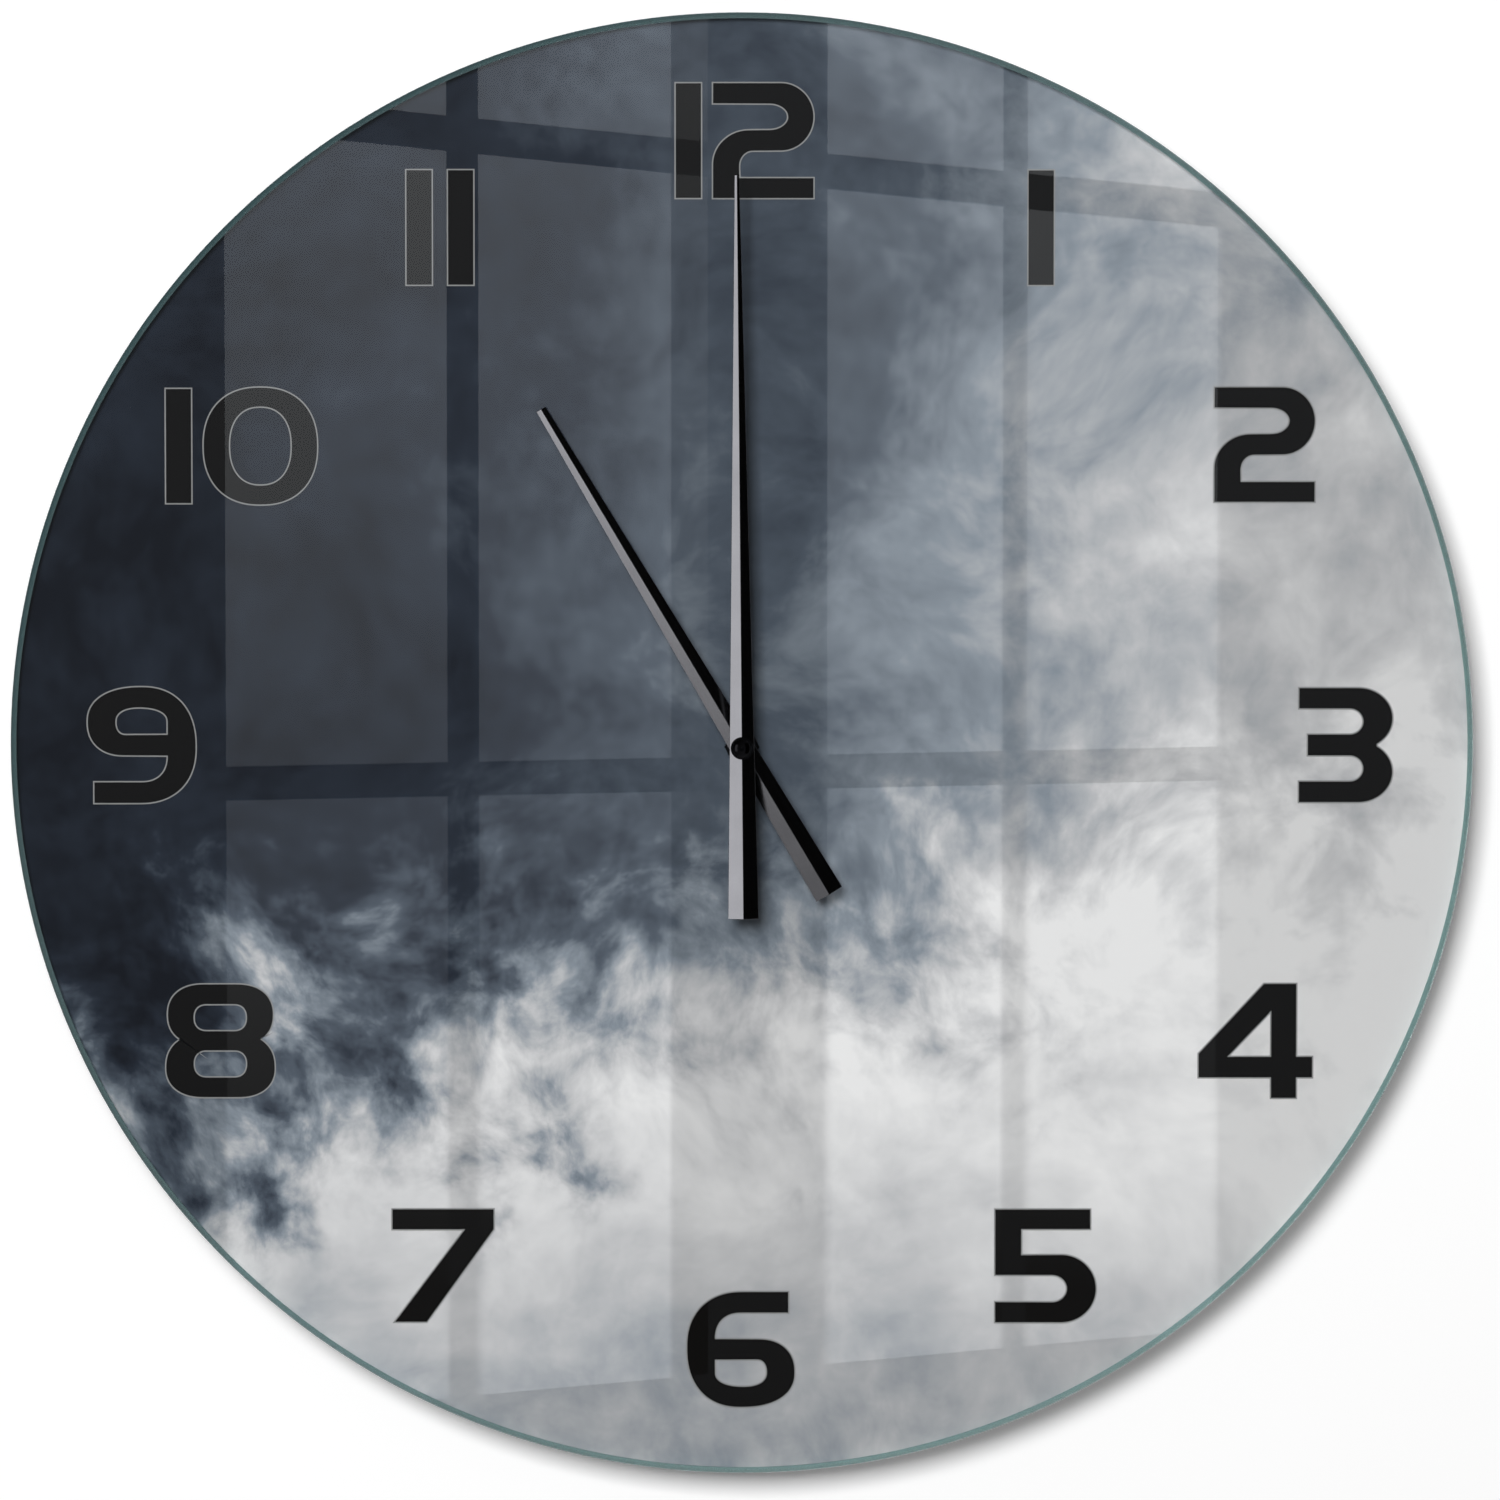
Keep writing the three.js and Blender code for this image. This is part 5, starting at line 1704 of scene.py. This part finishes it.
@dataclass
class Studio:
    """White wall and pale floor, soft lamps, a paned light, cards for the reflections, a camera.

    Levels are how bright white paint on the dial would be under one lamp alone. Places on the
    dial are x and z from its centre, in millimetres.
    """

    dial: Dial
    # Camera: the photograph's viewing angle, and the disc's size and place in its frame
    distance: float = 3000.0
    elevation: float = 3.0
    sensor: float = 36.0
    clip: Point = (0.1, 50.0)
    frame_px: float = 1500.0
    disc_px: float = 1462.5
    disc_centre_px: Point = (742.0, 746.4)
    # Stage
    wall_gap: float = 0.1
    wall_reach: float = 2600.0
    wall_glow: float = 0.15
    floor_height: float = -1750.0
    floor_reach: float = 5000.0
    floor_glow: float = 0.45
    # Softboxes: the key leans by degrees to the right and up, and the other is a direction behind
    soft_distance: float = 5500.0
    key_level: float = 0.88
    key_lean: Point = (-12.5, 18.0)
    key_size: float = 2000.0
    back_level: float = 0.6
    back_way: tuple[float, float, float] = (0.35, 1.0, 0.45)
    back_size: float = 2200.0
    # World
    fill_level: float = 0.12
    room_level: float = 0.62
    room_lean: tuple[float, float, float] = (0.38, 0.0, -0.34)
    # Softbox for the hands
    side_level: float = 3.8
    side_bearing: float = -47.0
    side_distance: float = 2600.0
    side_width: float = 1150.0
    side_heights: Point = (-1080.0, 1250.0)
    # Paned light: left, right and level of each column of panes; the one that stands ajar only
    # shows mirrored. Bars across are top, bottom and slope, and the foot is a height and a slope
    columns: tuple[tuple[float, float, float], ...] = (
        (-212.0, -121.0, 1.0),
        (-108.0, -29.0, 1.0),
        (35.0, 107.0, 1.0),
        (117.0, 195.0, 0.85),
    )
    ajar: tuple[float, float, float] = (-29.0, -14.0, 0.45)
    bars: tuple[tuple[float, float, float], ...] = ((246.5, 232.0, -0.1), (-4.0, -18.0, 0.02))
    pane_head: float = 330.0
    pane_foot: Point = (-258.0, 0.09)
    pane_ease: float = 1.2
    window_level: float = 0.24
    window_distance: float = 3000.0
    # Cards: brightness at the foot and the top, and the heights of these
    card_distance: float = 3500.0
    pane_glow: Point = (0.1, 1.6)
    pane_heights: Point = (-720.0, 450.0)
    panel_glow: Point = (0.10, 0.38)
    panel_heights: Point = (-1100.0, 600.0)
    panel_gap: float = 20.0
    panel_reach: float = 330.0
    flag_bearing: float = 48.0
    flag_distance: float = 2600.0
    flag_width: float = 2300.0
    flag_heights: Point = (-2200.0, 2400.0)

    def __post_init__(self) -> None:
        """Note the middle of the pane's face."""
        x, z = self.dial.centre
        self.middle = Vector((x, self.dial.front, z))

    def build_camera(self) -> None:
        """Place a long lens a little above the hub, so that the disc sits in the frame."""
        scale = 2 * self.dial.rim / self.disc_px
        middle = self.frame_px / 2
        x = self.middle.x + (middle - self.disc_centre_px[0]) * scale
        z = self.middle.z - (middle - self.disc_centre_px[1]) * scale
        rise = math.radians(self.elevation)
        aim = Vector((x, (self.dial.front + self.dial.back) / 2, z))
        away = Vector((0.0, -math.cos(rise), math.sin(rise)))
        self.eye = aim + away * self.distance
        data = bpy.data.cameras.new("camera")
        data.sensor_width = self.sensor
        data.lens = self.sensor * self.distance / (self.frame_px * scale)
        data.clip_start, data.clip_end = self.clip
        camera = bpy.data.objects.new("camera", data)
        camera.location = self.eye * MM
        camera.rotation_euler = (-away).to_track_quat("-Z", "Y").to_euler()
        bpy.context.scene.collection.objects.link(camera)
        bpy.context.scene.camera = camera
        bpy.context.scene.view_settings.view_transform = "Standard"

    def sheet(self, name: str, corners: Corners, finish: Finish) -> bpy.types.Object:
        """Make a flat sheet of the stage.

        Args:
            name: its name.
            corners: its corners in order, in millimetres.
            finish: its finish.

        Returns:
            The new object.
        """
        mesh = bmesh.new()
        mesh.faces.new([mesh.verts.new(Vector(corner) * MM) for corner in corners])
        data = bpy.data.meshes.new(name)
        mesh.to_mesh(data)
        mesh.free()
        data.materials.append(finish.material())
        made = bpy.data.objects.new(name, data)
        bpy.context.scene.collection.objects.link(made)
        made.visible_shadow = False
        made.visible_diffuse = False
        log.info("%s is on the stage", name)
        return made

    def build_stage(self) -> None:
        """Make the wall just behind the spacers and the floor below the view."""
        back = Seat.of("wall_spacer_1").back + self.wall_gap
        side, foot, reach = self.wall_reach, self.floor_height, self.floor_reach
        wall = [(-side, back, foot), (side, back, foot), (side, back, side), (-side, back, side)]
        floor = [
            (-reach, -reach, foot),
            (reach, -reach, foot),
            (reach, back + reach, foot),
            (-reach, back + reach, foot),
        ]
        wall_paint = BackdropFinish("white_wall_paint", "#fdfdfd", self.wall_glow)
        floor_paint = BackdropFinish("pale_floor_paint", "#eeeeec", self.floor_glow)
        for made in (self.sheet("wall", wall, wall_paint), self.sheet("floor", floor, floor_paint)):
            made.visible_glossy = False

    def hang(
        self, data: bpy.types.Light, place: Vector, away: Vector, pieces: Sequence[str] = ()
    ) -> bpy.types.Object:
        """Hang a lamp that the camera doesn't see.

        Args:
            data: the lamp.
            place: its middle, in millimetres.
            away: direction to the lamp from what it lights.
            pieces: names of the only pieces that it lights, or none for all.

        Returns:
            The new object.
        """
        made = bpy.data.objects.new(data.name, data)
        made.location = place * MM
        made.rotation_euler = away.to_track_quat("Z", "Y").to_euler()
        made.visible_camera = False
        bpy.context.scene.collection.objects.link(made)
        if pieces:
            lit = bpy.data.collections.new(f"lit_by_{data.name}")
            for name in pieces:
                lit.objects.link(bpy.data.objects[name])
            made.light_linking.receiver_collection = lit
        return made

    def softbox(self, name: str, way: Sequence[float], size: float, level: float) -> None:
        """Hang a square softbox that faces the dial.

        Args:
            name: its name.
            way: direction to it from the dial.
            size: length of its side.
            level: its level.
        """
        data = bpy.data.lights.new(name, "AREA")
        data.size = size * MM
        data.energy = level * math.pi**2 * (self.soft_distance * MM) ** 2
        out = Vector(way).normalized()
        made = self.hang(data, self.middle + out * self.soft_distance, out)
        made.visible_glossy = False
        made.visible_transmission = False

    def build_lights(self) -> None:
        """Hang the softboxes: the key above on the left, and a weaker one behind the wall."""
        right, up = (math.tan(math.radians(angle)) for angle in self.key_lean)
        self.softbox("key_softbox", (right, -1.0, up), self.key_size, self.key_level)
        self.softbox("back_softbox", self.back_way, self.back_size, self.back_level)

    def build_world(self) -> None:
        """Make the world: white where it is seen, and darker at the upper left where mirrored."""
        world = bpy.data.worlds.new("studio_world")
        world.use_nodes = True
        tree = world.node_tree
        tree.nodes.clear()
        path = add_node(tree, "ShaderNodeLightPath")
        way = add_node(tree, "ShaderNodeTexCoord")
        lean = add_node(
            tree,
            "ShaderNodeVectorMath",
            {1: self.room_lean},
            {0: way.outputs["Generated"]},
            operation="DOT_PRODUCT",
        )
        room = add_node(
            tree,
            "ShaderNodeMath",
            {1: self.room_level},
            {0: lean.outputs["Value"]},
            operation="ADD",
            use_clamp=True,
        )
        mirrored = add_node(
            tree,
            "ShaderNodeMath",
            links={0: path.outputs["Is Glossy Ray"], 1: path.outputs["Is Transmission Ray"]},
            operation="MAXIMUM",
        )
        level = add_node(
            tree,
            "ShaderNodeMapRange",
            {"To Min": self.fill_level},
            {"Value": mirrored.outputs[0], "To Max": room.outputs[0]},
        )
        level = add_node(
            tree,
            "ShaderNodeMapRange",
            {"To Max": 1.0},
            {"Value": path.outputs["Is Camera Ray"], "To Min": level.outputs["Result"]},
        )
        sky = add_node(
            tree,
            "ShaderNodeBackground",
            {"Color": (1.0, 1.0, 1.0, 1.0)},
            {"Strength": level.outputs["Result"]},
        )
        add_node(tree, "ShaderNodeOutputWorld", links={"Surface": sky.outputs[0]})
        bpy.context.scene.world = world

    def light_hands(self, *pieces: str) -> None:
        """Stand a tall softbox at the left that lights the hands but doesn't veil the pane.

        Args:
            *pieces: names of the pieces that it lights.
        """
        bearing = math.radians(self.side_bearing)
        foot, top = self.side_heights
        data = bpy.data.lights.new("side_softbox", "AREA")
        data.shape = "RECTANGLE"
        data.size, data.size_y = self.side_width * MM, (top - foot) * MM
        data.energy = self.side_level * math.pi * data.size * data.size_y
        out = Vector((math.sin(bearing), -math.cos(bearing), 0.0))
        middle = Vector((self.middle.x, self.middle.y, (foot + top) / 2))
        self.hang(data, middle + out * self.side_distance, out, pieces)

    def cast_panes(self, *pieces: str) -> None:
        """Throw the paned light on the print, without shadows of its own.

        Args:
            *pieces: names of the pieces that it lights.
        """
        data = bpy.data.lights.new("window_light", "POINT")
        data.shadow_soft_size = 0.0
        data.use_shadow = False
        data.energy = self.window_level * 4 * math.pi**2 * (self.window_distance * MM) ** 2
        data.use_nodes = True
        tree = data.node_tree
        tree.nodes.clear()
        glow = add_node(tree, "ShaderNodeEmission", links={"Strength": self.panes(tree)})
        add_node(tree, "ShaderNodeOutputLight", links={0: glow.outputs[0]})
        out = Vector((0.0, -1.0, 0.0))
        middle = Vector((self.middle.x, Seat.of("print_film").front, self.middle.z))
        self.hang(data, middle + out * self.window_distance, out, pieces)

    def panes(self, tree: Tree) -> Socket:
        """Add the pattern of the panes in the lamp's own directions.

        Args:
            tree: node tree of the lamp.

        Returns:
            Output socket that is 1 towards the panes and 0 at their bars.
        """
        # Where each direction meets the dial, as x and z
        way = add_node(tree, "ShaderNodeTexCoord").outputs["Normal"]
        parts = add_node(tree, "ShaderNodeSeparateXYZ", links={0: way})
        depth = add_node(
            tree,
            "ShaderNodeMath",
            {1: -self.window_distance},
            {0: parts.outputs["Z"]},
            operation="DIVIDE",
        )
        across, up = (
            add_node(
                tree,
                "ShaderNodeMath",
                links={0: parts.outputs[axis], 1: depth.outputs[0]},
                operation="DIVIDE",
            ).outputs[0]
            for axis in "XY"
        )
        # Columns, as stops of a ramp from one rim of the dial to the other
        rim, edge = self.dial.rim, self.pane_ease
        share = add_node(
            tree, "ShaderNodeMapRange", {"From Min": -rim, "From Max": rim}, {"Value": across}
        )
        ramp = add_node(tree, "ShaderNodeValToRGB", links={"Fac": share.outputs["Result"]})
        marks = []
        for left, right, level in self.columns:
            marks += [(left - edge, 0.0), (left + edge, level)]
            marks += [(right - edge, level), (right + edge, 0.0)]
        set_stops(ramp, [((x + rim) / (2 * rim), (level, level, level, 1.0)) for x, level in marks])
        # Bars across, and everything below the foot
        lit = ramp.outputs["Color"]
        foot, foot_slope = self.pane_foot
        for top, bottom, slope in (*self.bars, (foot, foot - 2 * rim, foot_slope)):
            height = add_node(
                tree, "ShaderNodeMath", {1: -slope}, {0: across, 2: up}, operation="MULTIPLY_ADD"
            )
            barred = add_node(
                tree,
                "ShaderNodeMath",
                {1: (top + bottom) / 2, 2: (top - bottom) / 2},
                {0: height.outputs[0]},
                operation="COMPARE",
            )
            clear = add_node(
                tree, "ShaderNodeMath", {0: 1.0}, {1: barred.outputs[0]}, operation="SUBTRACT"
            )
            lit = add_node(
                tree, "ShaderNodeMath", links={0: lit, 1: clear.outputs[0]}, operation="MULTIPLY"
            ).outputs[0]
        return lit

    def card(self, name: str, corners: Corners, finish: CardFinish) -> None:
        """Make a card that shows only in reflections.

        Args:
            name: its name.
            corners: its corners in order, in millimetres.
            finish: its finish.
        """
        made = self.sheet(name, corners, finish)
        finish.material().cycles.emission_sampling = "NONE"
        made.visible_camera = False
        made.visible_transmission = False

    def mirrored(self, x: float, z: float, distance: float) -> tuple[float, float, float]:
        """Place that the camera sees mirrored at a point of the pane.

        Args:
            x: the point's x from the dial's centre.
            z: the point's z from the dial's centre.
            distance: how far from the pane the place is.

        Returns:
            The place in the frame's axes.
        """
        reach = self.middle.y - self.eye.y
        share = (reach + distance) / reach
        at_x, at_z = self.middle.x + x, self.middle.z + z
        return (
            self.eye.x + (at_x - self.eye.x) * share,
            self.middle.y - distance,
            self.eye.z + (at_z - self.eye.z) * share,
        )

    def build_cards(self) -> None:
        """Set up what the pane mirrors: a dim panel, the paned light before it, a black flag."""
        far, reach = self.card_distance, self.panel_reach
        dusk = CardFinish("dim_studio_panel", "#dfe6ee", self.panel_glow, self.panel_heights)
        corners = [(-reach, -reach), (reach, -reach), (reach, reach), (-reach, reach)]
        self.card("panel", [self.mirrored(x, z, far + self.panel_gap) for x, z in corners], dusk)
        for i, (left, right, level) in enumerate([*self.columns, self.ajar]):
            glow = tuple(level * each for each in self.pane_glow)
            for j, (top, bottom) in enumerate(self.rows(left, right)):
                finish = CardFinish(f"paned_light_{i}_{j}", "#eef3f8", glow, self.pane_heights)
                corners = [*bottom, *top[::-1]]
                self.card(f"pane_{i}_{j}", [self.mirrored(x, z, far) for x, z in corners], finish)
        self.build_flag()

    def rows(self, left: float, right: float) -> list[tuple[Edge, Edge]]:
        """Upper and lower edges of the panes in one column, as the glass mirrors them.

        Args:
            left: x of the column's left side.
            right: x of its right side.

        Returns:
            The upper and the lower edge of each pane, from the top down.
        """

        def edge(height: float, slope: float) -> Edge:
            """Edge with a height at the dial's centre line and a slope."""
            return (left, height + slope * left), (right, height + slope * right)

        tops = [edge(self.pane_head, 0.0), *(edge(foot, slope) for _, foot, slope in self.bars)]
        feet = [*(edge(top, slope) for top, _, slope in self.bars), edge(*self.pane_foot)]
        return list(zip(tops, feet))

    def build_flag(self) -> None:
        """Stand a black flag at the right that faces the dial."""
        angle = math.radians(self.flag_bearing)
        out = Vector((math.sin(angle), -math.cos(angle)))
        half = Vector((math.cos(angle), math.sin(angle))) * self.flag_width / 2
        middle = self.middle.xy + out * self.flag_distance
        left, right = middle - half, middle + half
        low, high = (self.middle.z + height for height in self.flag_heights)
        corners = [(*left, low), (*right, low), (*right, high), (*left, high)]
        self.card("side_flag", corners, CardFinish("black_flag", "#ffffff"))

    def build(self) -> None:
        """Set up the camera first, then the stage, the lamps, the world and the cards."""
        self.build_camera()
        self.build_stage()
        self.build_lights()
        self.build_world()
        self.build_cards()


def main() -> None:
    """Build the clock and its studio in order."""
    logging.basicConfig(level=logging.INFO, format="%(name)s: %(message)s")
    dial = Dial()
    studio = Studio(dial)
    studio.build()
    dial.build_pane()
    dial.build_print()
    Numerals(dial).build()
    Hands().build()
    studio.light_hands("minute_hand_blade", "hour_hand_blade", "cap_nut_domed")
    studio.cast_panes("mist_print")
    FixingStack().build()
    WallFixings().build()
    Movement().build()


if __name__ == "__main__":
    main()
